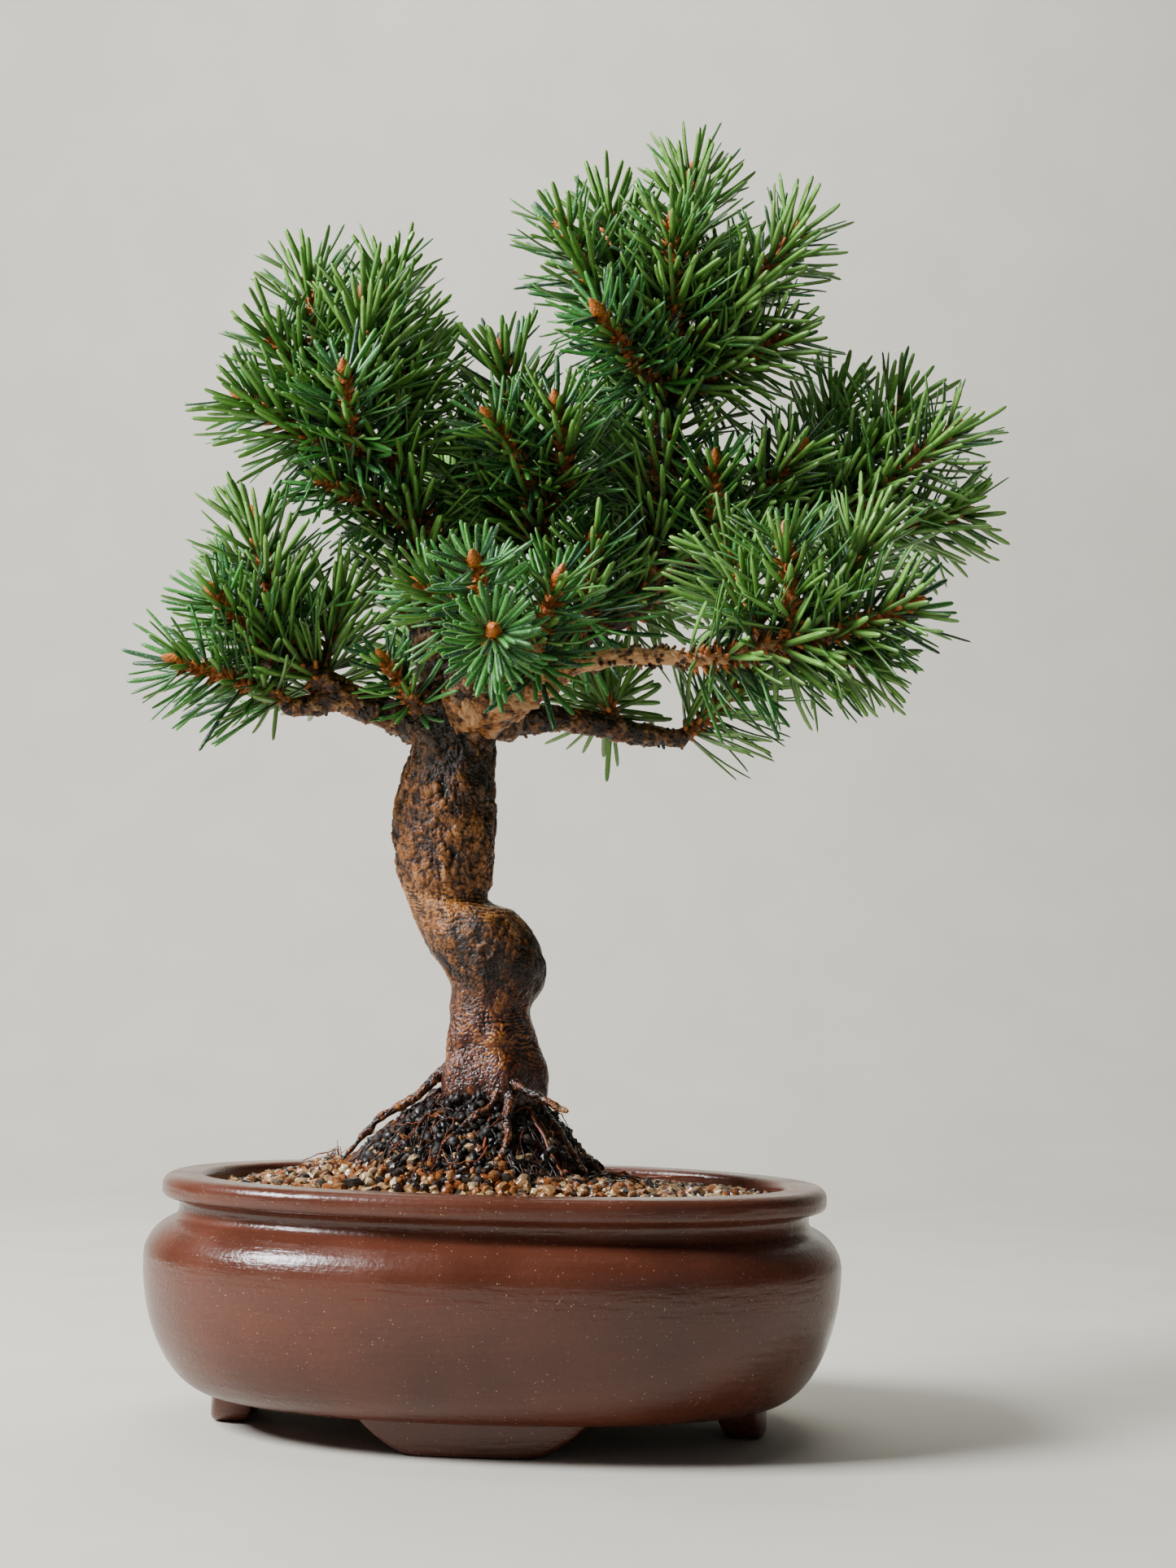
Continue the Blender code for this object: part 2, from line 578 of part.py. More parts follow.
def make_shoot(index, stems, wood, parent, material):
    """Add one shoot: a stem with a bud at its end and a needle drawn out of each face of the stem."""
    base = stems[0][index]
    whole = np.linalg.norm(stems[1][index] - base)
    ahead = (stems[1][index] - base) / whole
    stem = whole - BUD_LENGTH
    levels = [stem * row / STEM_SEGMENTS for row in range(STEM_SEGMENTS + 1)] + [whole - 0.5 * BUD_LENGTH]
    radii = [STEM_RADIUS] * (STEM_SEGMENTS + 1) + [BUD_RADIUS]
    across = np.cross(ahead, (0.36, 0.48, 0.8))
    across /= np.linalg.norm(across)
    other = np.cross(ahead, across)
    points = []
    for level, radius in zip(levels, radii):
        for side in range(STEM_SIDES):
            turn = 2 * math.pi * side / STEM_SIDES
            points.append(base + level * ahead + radius * (math.cos(turn) * across + math.sin(turn) * other))
    faces = [tuple(reversed(range(STEM_SIDES)))]
    length = NEEDLE_LENGTH if whole > SHORT_SHOOT else SHORT_NEEDLE_LENGTH
    for row in range(STEM_SEGMENTS + 1):
        lean = LOWEST_LEAN + (HIGHEST_LEAN - LOWEST_LEAN) * row / (STEM_SEGMENTS - 1)
        for side in range(STEM_SIDES):
            beside = (side + 1) % STEM_SIDES
            corners = [row * STEM_SIDES + side, row * STEM_SIDES + beside,
                       (row + 1) * STEM_SIDES + beside, (row + 1) * STEM_SIDES + side]
            if row == STEM_SEGMENTS:
                faces.append(tuple(corners))
                continue
            middle = np.mean([points[corner] for corner in corners], axis=0)
            turn = 2 * math.pi * (side + 0.5) / STEM_SIDES
            outward = math.cos(turn) * across + math.sin(turn) * other
            direction = math.cos(lean) * outward + math.sin(lean) * ahead
            reach = needle_reach(middle, direction, length, index, stems, wood)
            points.append(middle + reach * direction)
            needle_tip = len(points) - 1
            for corner, following in zip(corners, corners[1:] + corners[:1]):
                faces.append((corner, following, needle_tip))
    last = (STEM_SEGMENTS + 1) * STEM_SIDES
    points.append(base + whole * ahead)
    for side in range(STEM_SIDES):
        faces.append((last + side, last + (side + 1) % STEM_SIDES, len(points) - 1))
    add_piece(f"needle_shoot_{index + 1:02d}", points, faces, material, parent, smooth=False)


def centre_on_origin(holder):
    """Move the holder so that the middle of the whole box's underside is at the origin."""
    bpy.context.view_layer.update()
    graph = bpy.context.evaluated_depsgraph_get()
    lows, highs = [], []
    for piece in holder.children:
        if piece.hide_render:
            continue
        mesh = piece.evaluated_get(graph).to_mesh()
        flat = np.empty(len(mesh.vertices) * 3)
        mesh.vertices.foreach_get("co", flat)
        lows.append(flat.reshape(-1, 3).min(axis=0))
        highs.append(flat.reshape(-1, 3).max(axis=0))
    low = np.min(lows, axis=0)
    high = np.max(highs, axis=0)
    holder.location = (-(low[0] + high[0]) / 2, -(low[1] + high[1]) / 2, -low[2])


def main():
    """Build the tree in its pot."""
    clear_scene()
    holder = bpy.data.objects.new("bonsai", None)
    bpy.context.scene.collection.objects.link(holder)
    clay = make_material("clay", (0.20, 0.065, 0.040), 0.42)
    plastic = make_material("screen_plastic", (0.03, 0.03, 0.03), 0.6)
    wire = make_material("clip_wire", (0.42, 0.43, 0.45), 0.4, 1.0)
    peat = make_material("peat", (0.018, 0.014, 0.012), 0.85)
    grit = make_material("grit", (0.36, 0.25, 0.15), 0.7)
    bark = make_material("bark", (0.16, 0.075, 0.035), 0.6)
    foliage = make_material("foliage", (0.05, 0.17, 0.06), 0.45)

    make_pot(holder, clay)
    for side, sign in (("left", -1), ("right", 1)):
        make_screen("drainage_screen_" + side, sign * DRAIN_X, holder, plastic)
        make_clip("screen_clip_" + side, sign * DRAIN_X, holder, wire)
    make_soil(holder, peat)
    mound = make_mound(holder, peat)
    gravel = make_gravel(holder, grit)

    twigs = [twig_route(base, tip) for base, tip in SHOOTS]
    make_wood(holder, bark, twigs)
    cut_round_wood((mound, gravel), holder, bark)

    stems = (np.array([base for base, _ in SHOOTS], float), np.array([tip for _, tip in SHOOTS], float))
    wood = segments_of([TRUNK, *LIMBS.values(), *twigs])
    for index in range(len(SHOOTS)):
        make_shoot(index, stems, wood, holder, foliage)
    centre_on_origin(holder)


main()
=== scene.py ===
"""A pine bonsai in a clay pot: the finished surfaces and materials, grown round the packed model."""

import itertools
import math

import bpy
import numpy as np
from mathutils import Matrix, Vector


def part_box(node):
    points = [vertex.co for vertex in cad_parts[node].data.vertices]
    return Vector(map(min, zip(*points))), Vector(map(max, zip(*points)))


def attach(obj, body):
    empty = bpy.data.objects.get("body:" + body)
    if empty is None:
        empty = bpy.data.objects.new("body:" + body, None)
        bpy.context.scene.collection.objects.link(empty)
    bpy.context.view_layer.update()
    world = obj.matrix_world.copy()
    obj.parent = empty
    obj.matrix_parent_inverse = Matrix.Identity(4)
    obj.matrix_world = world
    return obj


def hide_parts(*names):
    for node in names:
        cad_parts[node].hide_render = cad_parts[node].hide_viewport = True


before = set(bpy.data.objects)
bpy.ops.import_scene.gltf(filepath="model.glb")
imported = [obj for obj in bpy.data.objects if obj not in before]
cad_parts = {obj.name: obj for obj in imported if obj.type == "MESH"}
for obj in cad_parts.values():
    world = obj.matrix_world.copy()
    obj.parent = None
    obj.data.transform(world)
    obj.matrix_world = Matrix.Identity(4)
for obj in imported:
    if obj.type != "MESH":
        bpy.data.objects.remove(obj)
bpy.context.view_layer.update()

bl_info = {
    "name": "Pine Bonsai",
    "version": (1, 0, 0),
    "blender": (4, 5, 0),
    "location": "3D View > Sidebar > Bonsai",
    "description": "Builds a mountain pine bonsai in an oval clay pot, piece by piece",
    "category": "Object",
}

MM = 0.001
GOLDEN_TURN = math.pi * (3 - math.sqrt(5))
POT_LOW, POT_HIGH = (np.array(corner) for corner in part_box("pot"))
POT_CENTRE = np.array([*((POT_LOW + POT_HIGH)[:2] / 2), 0.0])
SHOOT_NODES = sorted(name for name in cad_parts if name.startswith("needle_shoot"))

# The whole tree is turned in its pot by this much.
TREE_TURN = math.radians(-7)


def turned(rows):
    """Turn rows that begin with x and y about the middle of the pot, by the tree's own turn."""
    cosine, sine = math.cos(TREE_TURN), math.sin(TREE_TURN)
    return [(x * cosine - y * sine, x * sine + y * cosine, *rest) for x, y, *rest in rows]


# Routes in millimetres from the centre of the pot, as rows of x, y, z and radius.
TRUNK = turned([
    (-1, 0, 82, 13), (-1, 0, 96, 15), (-1, 0, 103, 14.2), (-2, 0, 107, 13.2), (-2, -1, 111, 12.5),
    (-3, -1, 119, 12), (-1.5, -1, 125, 13.2), (-2.5, -1, 130, 14.9), (-5.3, -1.5, 136, 16.2),
    (-7.4, -2, 141, 16.5), (-9.6, -2, 145, 15.8), (-11.5, -2.5, 147, 14.6), (-15.2, -3.3, 150, 11.8),
    (-16.3, -3.5, 156, 13.6), (-17, -3.7, 163, 14.8), (-17.4, -3.7, 174, 15), (-17.1, -3.7, 181, 14.3),
    (-16.4, -3.5, 187, 13.2), (-15.4, -3.3, 193, 12), (-15.6, -3, 202, 12.6), (-15.5, -2, 212, 11.5),
    (-15, -1, 219, 7),
])
LIMBS = {name: turned(rows) for name, rows in {
    "left_branch": [
        (-20, -4, 199, 7), (-28, -7, 202, 5.4), (-38, -12, 205, 4.4), (-46, -17, 208, 4), (-54, -20, 205, 3),
        (-62, -24, 204, 2.4),
    ],
    "left_riser": [
        (-45, -16, 208, 4), (-50, -19, 212, 3.4), (-56, -20, 216, 3), (-62, -22, 221, 2.6),
        (-65, -21, 226, 2.2),
    ],
    "right_branch": [
        (-12, -6, 205, 10), (0, -10, 209, 8), (11, -14, 213, 6), (20, -16, 217, 4.6), (33, -20, 219, 3.4),
        (47, -23, 219, 3), (58, -24, 218, 3), (70, -26, 219, 2.8), (80, -28, 221, 2.6), (88, -27, 223, 2.2),
    ],
    "low_branch": [
        (-7, 5, 204, 6), (1, 12, 204, 4.4), (12, 20, 206, 3.6), (22, 27, 205, 3.4), (34, 34, 203, 3.2),
        (48, 40, 202, 2.6),
    ],
    "leader": [
        (-14, 2, 214, 8.5), (1, 9, 224, 7), (18, 16, 233, 6), (33, 22, 243, 5.4), (40, 24, 262, 4.8),
        (42, 23, 285, 4.2), (43, 21, 303, 3.6), (44, 18, 318, 2.8),
    ],
    "left_upright": [
        (-19, 0, 214, 7), (-25, 2, 229, 5.6), (-28, 3, 248, 4.8), (-31, 1, 266, 4.2), (-36, -4, 278, 3.4),
        (-45, -10, 288, 2.6),
    ],
    "front_spur": [(-12, -9, 209, 6), (-5, -22, 216, 4.4), (0, -31, 221, 3.2)],
    "middle_upright": [(12, 13, 230, 5), (9, 12, 246, 4), (6, 9, 262, 3.2), (5, 5, 272, 2.6)],
    "right_upright": [(39, 24, 256, 4.4), (54, 27, 257, 4), (72, 33, 262, 3.4), (88, 38, 269, 2.6)],
    "back_branch": [(32, 22, 243, 4.6), (31, 37, 250, 4), (33, 51, 257, 3)],
    "left_back_branch": [(-28, 3, 248, 4.2), (-29, 18, 256, 3.6), (-26, 33, 263, 2.8)],
    "low_back_branch": [(-16, 2, 210, 6), (-20, 17, 217, 4.2), (-25, 30, 224, 3)],
}.items()}
# How far along each limb its old needles start.
LEAFY_LIMBS = {
    "leader": 0.38, "left_upright": 0.25, "middle_upright": 0.2, "right_upright": 0.1, "back_branch": 0.15,
    "left_back_branch": 0.2, "low_back_branch": 0.4, "left_riser": 0.3, "right_branch": 0.7,
}
ROOTS = [turned(rows) for rows in [
    [(-8, -2, 105, 5), (-17, -7, 98, 2.9), (-27, -11, 90, 2.1), (-36, -14, 81, 1.7), (-44, -16, 72, 1.3)],
    [(4, -6, 103, 4.5), (9, -14, 97, 2.7), (16, -18, 94, 2), (25, -20, 91.5, 1.7)],
    [
        (3, -9, 99, 3.8), (2, -16, 92, 2.1), (-5, -21, 86, 1.7), (-10, -26, 80, 1.5), (-13, -30, 73, 1.3),
        (-14, -33, 66, 1.2),
    ],
    [(6, -11, 96, 3.4), (7, -19, 88, 2), (9, -24, 82, 1.8), (6, -29, 75, 1.6), (2, -33, 67, 1.3)],
    [(6, 0, 98, 4), (15, -2, 88, 2.6), (23, -5, 79, 1.8), (30, -6, 68, 1.4)],
    [(-2, 8, 102, 4.5), (0, 17, 92, 2.6), (5, 24, 82, 1.8), (6, 31, 69, 1.4)],
    [(-9, 5, 100, 4), (-18, 13, 91, 2.6), (-26, 19, 80, 1.8), (-32, 24, 70, 1.4)],
]]


def linear(hex_colour):
    """Turn an sRGB hex colour to linear red, green and blue."""
    channels = [int(hex_colour[place:place + 2], 16) / 255 for place in (1, 3, 5)]
    return tuple(c / 12.92 if c <= 0.04045 else ((c + 0.055) / 1.055) ** 2.4 for c in channels)


def size_prop(name, description, millimetres):
    """Return a property for a length, whose default is given in millimetres."""
    return bpy.props.FloatProperty(
        name=name, description=description, default=millimetres * MM, min=0.0, precision=5,
        subtype="DISTANCE", unit="LENGTH",
    )


def colour_prop(name, description, hex_colour):
    """Return a property for a colour, whose default is given as sRGB hex."""
    return bpy.props.FloatVectorProperty(
        name=name, description=description, default=linear(hex_colour), size=3, min=0.0, max=1.0,
        subtype="COLOR",
    )


def number_prop(name, description, default):
    """Return a property for a plain number."""
    return bpy.props.FloatProperty(name=name, description=description, default=default)


def angle_prop(name, description, degrees):
    """Return a property for an angle, whose default is given in degrees."""
    return bpy.props.FloatProperty(
        name=name, description=description, default=math.radians(degrees), subtype="ANGLE", unit="ROTATION",
    )


class BONSAI_PG_pot(bpy.types.PropertyGroup):
    """Sizes and colours of the pot."""

    oval_difference: size_prop("Oval difference", "How much less the half width is than the half length", 24)
    floor_underside: size_prop("Floor underside", "Height of the underside of the floor", 9)
    floor_top: size_prop("Floor top", "Height of the floor inside", 15)
    base_half_length: size_prop(
        "Base half length", "Half length of the oval where the belly leaves the floor", 79,
    )
    belly_height: size_prop("Belly height", "Height of the widest ring", 47)
    neck_half_length: size_prop("Neck half length", "Half length of the groove under the rim", 90.5)
    neck_height: size_prop("Neck height", "Height of the groove under the rim", 61)
    rim_half_length: size_prop("Rim half length", "Half length of the outside of the rim", 95.5)
    mouth_half_length: size_prop("Mouth half length", "Half length of the opening", 83.5)
    foot_thickness: size_prop("Foot thickness", "Thickness of a foot from outside to inside", 11)
    long_foot_width: size_prop("Long side foot width", "Width of the front and back feet", 62)
    short_foot_width: size_prop("Short side foot width", "Width of the end feet", 42)
    drain_offset: size_prop("Drain offset", "Distance of each drainage hole from the centre", 36)
    drain_radius: size_prop("Drain radius", "Radius of a drainage hole", 7)
    clay: colour_prop("Clay", "Colour of the burnished clay", "#5D3122")
    clay_dark: colour_prop("Dark clay", "Colour of the clay where the fire was hotter", "#44241A")
    clay_speck: colour_prop("Speck", "Colour of the mica specks in the clay", "#C9B4A4")


class BONSAI_PG_wood(bpy.types.PropertyGroup):
    """Sizes and colours of the trunk, limbs and roots."""

    lump_height: size_prop("Lump height", "Height of the slow swellings of the trunk", 0.9)
    fold_spacing: size_prop("Fold spacing", "Distance between the skin folds at the bends", 1.25)
    fold_depth: size_prop("Fold depth", "Depth of the skin folds", 0.42)
    scale_width: size_prop("Bark scale width", "Width of one plate of the flaky bark", 2.7)
    scale_depth: size_prop("Bark scale depth", "Depth of the cracks between the plates", 0.8)
    ridge: colour_prop("Ridge", "Colour of the young bark's ridges", "#A2642A")
    flesh: colour_prop("Flesh", "Colour between ridge and crack", "#532E10")
    crack: colour_prop("Crack", "Colour at the bottom of the cracks", "#0F0805")
    old: colour_prop("Old bark", "Colour of the old dark scales", "#2C1C12")
    lichen: colour_prop("Grey", "Colour of the weathered flakes", "#7C6040")
    damp: colour_prop("Damp skin", "Colour of the wet neck above the roots", "#4C2013")
    pale: colour_prop("Pale wood", "Colour of the young pale limb", "#C08F5E")
    hair: colour_prop("Hair root", "Colour of the finest roots", "#160D09")
    rust: colour_prop("Young root", "Colour of the young thin roots", "#7A3D1D")


class BONSAI_PG_foliage(bpy.types.PropertyGroup):
    """Sizes and colours of the shoots."""

    needle_length: size_prop("Needle length", "Length of an average needle", 22.5)
    needle_width: size_prop("Needle width", "Width of a needle at its widest", 1.7)
    pair_spacing: size_prop("Pair spacing", "Length of stem for each pair of needles", 0.68)
    widest_lean: angle_prop("Widest lean", "Angle between stem and needle at the bottom of a shoot", 76)
    closest_lean: angle_prop("Closest lean", "Angle between stem and needle beside the bud", 46)
    leafy_twig: size_prop("Leafy twig", "How far down the twig the needles go below a shoot", 24)
    leafy_limb: number_prop("Leafy limb", "How much sparser the needles are on a limb than on a shoot", 1.0)
    stem_radius: size_prop("Stem radius", "Radius of a shoot's stem", 1.35)
    bud_length: size_prop("Bud length", "Length of a resting bud", 7.2)
    bud_radius: size_prop("Bud radius", "Radius of a resting bud", 2.3)
    needle_deep: colour_prop("Deep green", "Colour of the needle's back", "#14402A")
    needle_bright: colour_prop("Bright green", "Colour of the needle's lit side", "#419036")
    needle_edge: colour_prop("Edge", "Colour of the needle's thin edges", "#93C552")
    needle_wax: colour_prop("Wax", "Colour of the rows of wax dots", "#D5E4D2")
    needle_dry: colour_prop("Dry tip", "Colour of a dried needle tip", "#C08A3A")
    bud: colour_prop("Bud", "Colour of the bud scales", "#B4581A")
    bud_rim: colour_prop("Bud scale rim", "Colour of the papery rims of the bud scales", "#D4842F")
    stem: colour_prop("Stem", "Colour of the young stems", "#A65820")
    sheath: colour_prop("Sheath", "Colour of the papery needle sheaths", "#C4763A")


class BONSAI_PG_ground(bpy.types.PropertyGroup):
    """Sizes and colours of the root ball and the gravel."""

    mound_foot: size_prop("Root ball foot", "Height of the edge of the root ball", 68)
    mound_rise: size_prop("Root ball rise", "Height of the root ball above its edge", 33)
    gravel_height: size_prop("Gravel height", "Height of the gravel at the pot's wall", 65.5)
    gravel_rise: size_prop("Gravel rise", "How far the gravel climbs towards the root ball", 7)
    stone_size: size_prop("Stone size", "Average size of a stone", 3.45)
    peat: colour_prop("Peat", "Colour of the damp peat", "#0E0B0A")
    peat_dry: colour_prop("Peat crumb", "Colour of the drier crumbs", "#33251B")
    tan: colour_prop("Tan stone", "Colour of the commonest stones", "#A87A48")
    cream: colour_prop("Cream stone", "Colour of the palest stones", "#D8BF92")
    rust: colour_prop("Rust stone", "Colour of the orange stones", "#9A5527")
    slate: colour_prop("Slate stone", "Colour of the dark stones", "#3B332C")


class BONSAI_PG_stage(bpy.types.PropertyGroup):
    """The floor, the lights and the camera."""

    camera_turn: angle_prop("Camera turn", "How far the camera stands round to the right of the front", 5.1)
    camera_distance: size_prop("Camera distance", "Level distance from the centre of the pot", 727)
    camera_height: size_prop("Camera height", "Height of the camera above the floor", 124.5)
    aim_right: angle_prop("Aim right", "How far right of the pot's centre the camera aims", 1.89)
    aim_up: angle_prop("Aim up", "How far above level the camera aims", 4.76)
    roll: angle_prop("Roll", "How far the camera leans", 1.4)
    lens: number_prop("Lens", "Focal length in millimetres", 57.04)
    floor: colour_prop("Floor", "Colour of the floor and backdrop", "#CFCCC0")
    key_power: number_prop("Key light", "Power of the window light", 50.0)
    fill_power: number_prop("Fill light", "Power of the soft fill", 0.4)
    sky_strength: number_prop("Sky", "Strength of the light all round", 0.05)
    wall_power: number_prop("Wall light", "Power of the light on the backdrop", 15.0)


GROUPS = {
    "bonsai_pot": BONSAI_PG_pot,
    "bonsai_wood": BONSAI_PG_wood,
    "bonsai_foliage": BONSAI_PG_foliage,
    "bonsai_ground": BONSAI_PG_ground,
    "bonsai_stage": BONSAI_PG_stage,
}


# ---------------------------------------------------------------- noise

# Large primes that scatter the corners of the noise grid.
HASH_PRIMES = np.array((73856093, 19349663, 83492791))


def value_noise(points, seed):
    """Noise from -1 to 1: a random value at each whole-numbered corner, eased across every unit cube."""
    corner = np.floor(points).astype(np.int64)
    inside = points - corner
    ease = inside * inside * (3 - 2 * inside)
    total = np.zeros(points.shape[:-1])
    for offset in itertools.product((0, 1), repeat=3):
        spot = corner + offset
        mixed = np.bitwise_xor.reduce(spot * HASH_PRIMES, axis=-1) ^ seed * 2654435761
        mixed = (mixed ^ (mixed >> 13)) * 1274126177 & 0x7FFFFFFF
        weight = np.prod(np.where(offset, ease, 1 - ease), axis=-1)
        total += weight * ((mixed ^ (mixed >> 16)) & 0xFFFF)
    return total / 32767.5 - 1


def layered_noise(points, size, seed, layers=3):
    """Sum of noises, each half the size and half the height of the one before; size is the first cell's."""
    return sum(value_noise(points / size * 2 ** layer, seed + layer) / 2 ** layer for layer in range(layers))


def cell_pattern(points, size, seed):
    """Return (gap, tone) of a pattern of cells: how much nearer the nearest seed point is than the second,
    and a random tone for each cell, from 0 to 1."""
    spots = points / size
    home = np.floor(spots).astype(np.int64)
    best = np.full(points.shape[:-1], 9.0)
    second = best.copy()
    tone = np.zeros_like(best)
    for offset in itertools.product((-1, 0, 1), repeat=3):
        cell = home + offset
        jitter = np.stack([value_noise(cell * 1.0, seed + axis) * 0.5 + 0.5 for axis in range(3)], axis=-1)
        away = np.linalg.norm(spots - cell - jitter, axis=-1)
        nearer = away < best
        second = np.where(nearer, best, np.minimum(second, away))
        tone = np.where(nearer, jitter[..., 0], tone)
        best = np.where(nearer, away, best)
    return second - best, tone


# ---------------------------------------------------------------- surfaces


def add_piece(name, points, faces, material, attributes=None, slot=None, replaced=()):
    """Add one finished piece to the model. faces is a list of index arrays, each of one corner count;
    attributes maps a name to one number for each point."""
    mesh = bpy.data.meshes.new(name)
    points = np.asarray(points, np.float32).reshape(-1, 3)
    loops = np.concatenate([part.ravel() for part in faces])
    sizes = np.concatenate([np.full(len(part), part.shape[1]) for part in faces])
    mesh.vertices.add(len(points))
    mesh.vertices.foreach_set("co", points.ravel())
    mesh.loops.add(len(loops))
    mesh.loops.foreach_set("vertex_index", loops.astype(np.int32))
    mesh.polygons.add(len(sizes))
    mesh.polygons.foreach_set("loop_start", np.concatenate([[0], np.cumsum(sizes)[:-1]]).astype(np.int32))
    mesh.update(calc_edges=True)
    mesh.shade_smooth()
    for key, values in (attributes or {}).items():
        layer = mesh.attributes.new(key, "FLOAT", "POINT")
        layer.data.foreach_set("value", np.asarray(values, np.float32).ravel())
    mesh.materials.append(material)
    piece = bpy.data.objects.new(name, mesh)
    bpy.context.scene.collection.objects.link(piece)
    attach(piece, "root")
    if replaced:
        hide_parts(*replaced)
    return piece


def grid_quads(rows, columns):
    """Return the quads of a grid whose columns run round, facing out when the rows run along the right-hand
    axis."""
    row = np.arange(rows - 1)[:, None]
    column = np.arange(columns)[None, :]
    beside = (column + 1) % columns
    near, far = row * columns, (row + 1) * columns
    corners = (near + column, near + beside, far + beside, far + column)
    return np.stack(corners, axis=-1).reshape(-1, 4)


def circle(count):
    """Return evenly spaced angles once round."""
    return 2 * np.pi * np.arange(count) / count


def with_ends(attributes, value):
    """Return a tube's attributes with this value added for the two points that close it."""
    return {key: np.append(values.ravel(), [value, value]) for key, values in attributes.items()}


def closed_tube(grid):
    """Return points and faces of a (rows, columns, 3) tube, closed by a fan of triangles at each end."""
    rows, columns = grid.shape[:2]
    points = np.concatenate([grid.reshape(-1, 3), grid[0].mean(0)[None], grid[-1].mean(0)[None]])
    first = np.arange(columns)
    after = (first + 1) % columns
    last = (rows - 1) * columns
    pole = rows * columns
    near = np.stack([after, first, np.full(columns, pole)], axis=-1)
    far = np.stack([last + first, last + after, np.full(columns, pole + 1)], axis=-1)
    return points, [grid_quads(rows, columns), np.concatenate([near, far])]


def joined(parts):
    """Return points, faces and attributes of several parts put together."""
    points, faces, attributes = [], {}, {}
    start = 0
    for part_points, part_faces, part_attributes in parts:
        points.append(part_points)
        for block in part_faces:
            faces.setdefault(block.shape[1], []).append(block + start)
        for key, values in part_attributes.items():
            attributes.setdefault(key, []).append(np.ravel(values))
        start += len(part_points)
    blocks = [np.concatenate(found) for found in faces.values()]
    return np.concatenate(points), blocks, {key: np.concatenate(found) for key, found in attributes.items()}


def repeated(points, faces):
    """Return points and faces of many copies of one shape, whose points are (copies, corners, 3)."""
    copies, corners = points.shape[:2]
    offsets = (np.arange(copies) * corners)[:, None, None]
    return points.reshape(-1, 3), [(block[None] + offsets).reshape(-1, block.shape[1]) for block in faces]


def unit(vectors):
    """Return the vectors at length one."""
    return vectors / np.linalg.norm(vectors, axis=-1, keepdims=True)


def smooth_route(rows, step):
    """Return evenly spaced rows, in metres, on the smooth curve through rows in millimetres: a cubic between
    each two rows, whose slope at a row follows its neighbours. Distances are level with the pot's centre."""
    rows = np.asarray(rows, float) * MM
    gaps = np.linalg.norm(np.diff(rows[:, :3], axis=0), axis=1)
    at = np.concatenate([[0], np.cumsum(gaps)])
    slopes = np.gradient(rows, at, axis=0)
    places = np.linspace(0, at[-1], max(int(at[-1] / step), 4) + 1)
    run = np.clip(np.searchsorted(at, places, side="right") - 1, 0, len(gaps) - 1)
    span = gaps[run][:, None]
    u = ((places - at[run]) / gaps[run])[:, None]
    curve = (
        (2 * u ** 3 - 3 * u ** 2 + 1) * rows[run] + (u ** 3 - 2 * u ** 2 + u) * span * slopes[run]
        + (3 * u ** 2 - 2 * u ** 3) * rows[run + 1] + (u ** 3 - u ** 2) * span * slopes[run + 1]
    )
    curve[:, :3] += POT_CENTRE
    return curve


# A direction that no piece runs along, from which cross directions are found.
STEADY = (0.36, 0.48, 0.8)


def frames_along(route):
    """Return the direction and two steady cross directions at each point of a route."""
    ahead = unit(np.gradient(route, axis=0))
    side = np.cross(ahead[0], STEADY)
    sides = []
    for direction in ahead:
        side = side - direction * side.dot(direction)
        side = side / np.linalg.norm(side)
        sides.append(side)
    sides = np.array(sides)
    return ahead, sides, np.cross(ahead, sides)


def tube_grid(route, columns):
    """Return a round tube's (rows, columns, 3) points and outward directions along rows of x, y, z and
    radius."""
    _, side, other = frames_along(route[:, :3])
    turn = circle(columns)
    outward = np.cos(turn)[None, :, None] * side[:, None] + np.sin(turn)[None, :, None] * other[:, None]
    return route[:, None, :3] + route[:, None, 3:] * outward, outward


# ---------------------------------------------------------------- materials


def add_node(tree, kind, settings=None, inputs=None):
    """Add a node, set its own settings, and give each input a value or link it to another node's socket. The
    setting stops gives a colour ramp its places and colours."""
    node = tree.nodes.new(kind)
    for key, value in (settings or {}).items():
        if key == "stops":
            elements = node.color_ramp.elements
            while len(elements) < len(value):
                elements.new(0.5)
            for element, (place, colour) in zip(elements, value):
                element.position = place
                element.color = (*colour, 1.0)
        else:
            setattr(node, key, value)
    for key, value in (inputs or {}).items():
        if isinstance(value, bpy.types.NodeSocket):
            tree.links.new(value, node.inputs[key])
        else:
            node.inputs[key].default_value = value
    return node


def new_material(name):
    """Return an empty material, its tree, its Object coordinates and its Principled shader."""
    material = bpy.data.materials.new(name)
    material.use_nodes = True
    tree = material.node_tree
    shader = tree.nodes["Principled BSDF"]
    coordinates = add_node(tree, "ShaderNodeTexCoord").outputs["Object"]
    return material, tree, coordinates, shader


def per_metre(millimetres):
    """Return the scale of a pattern whose cells are this many millimetres wide."""
    return 1 / (millimetres * MM)


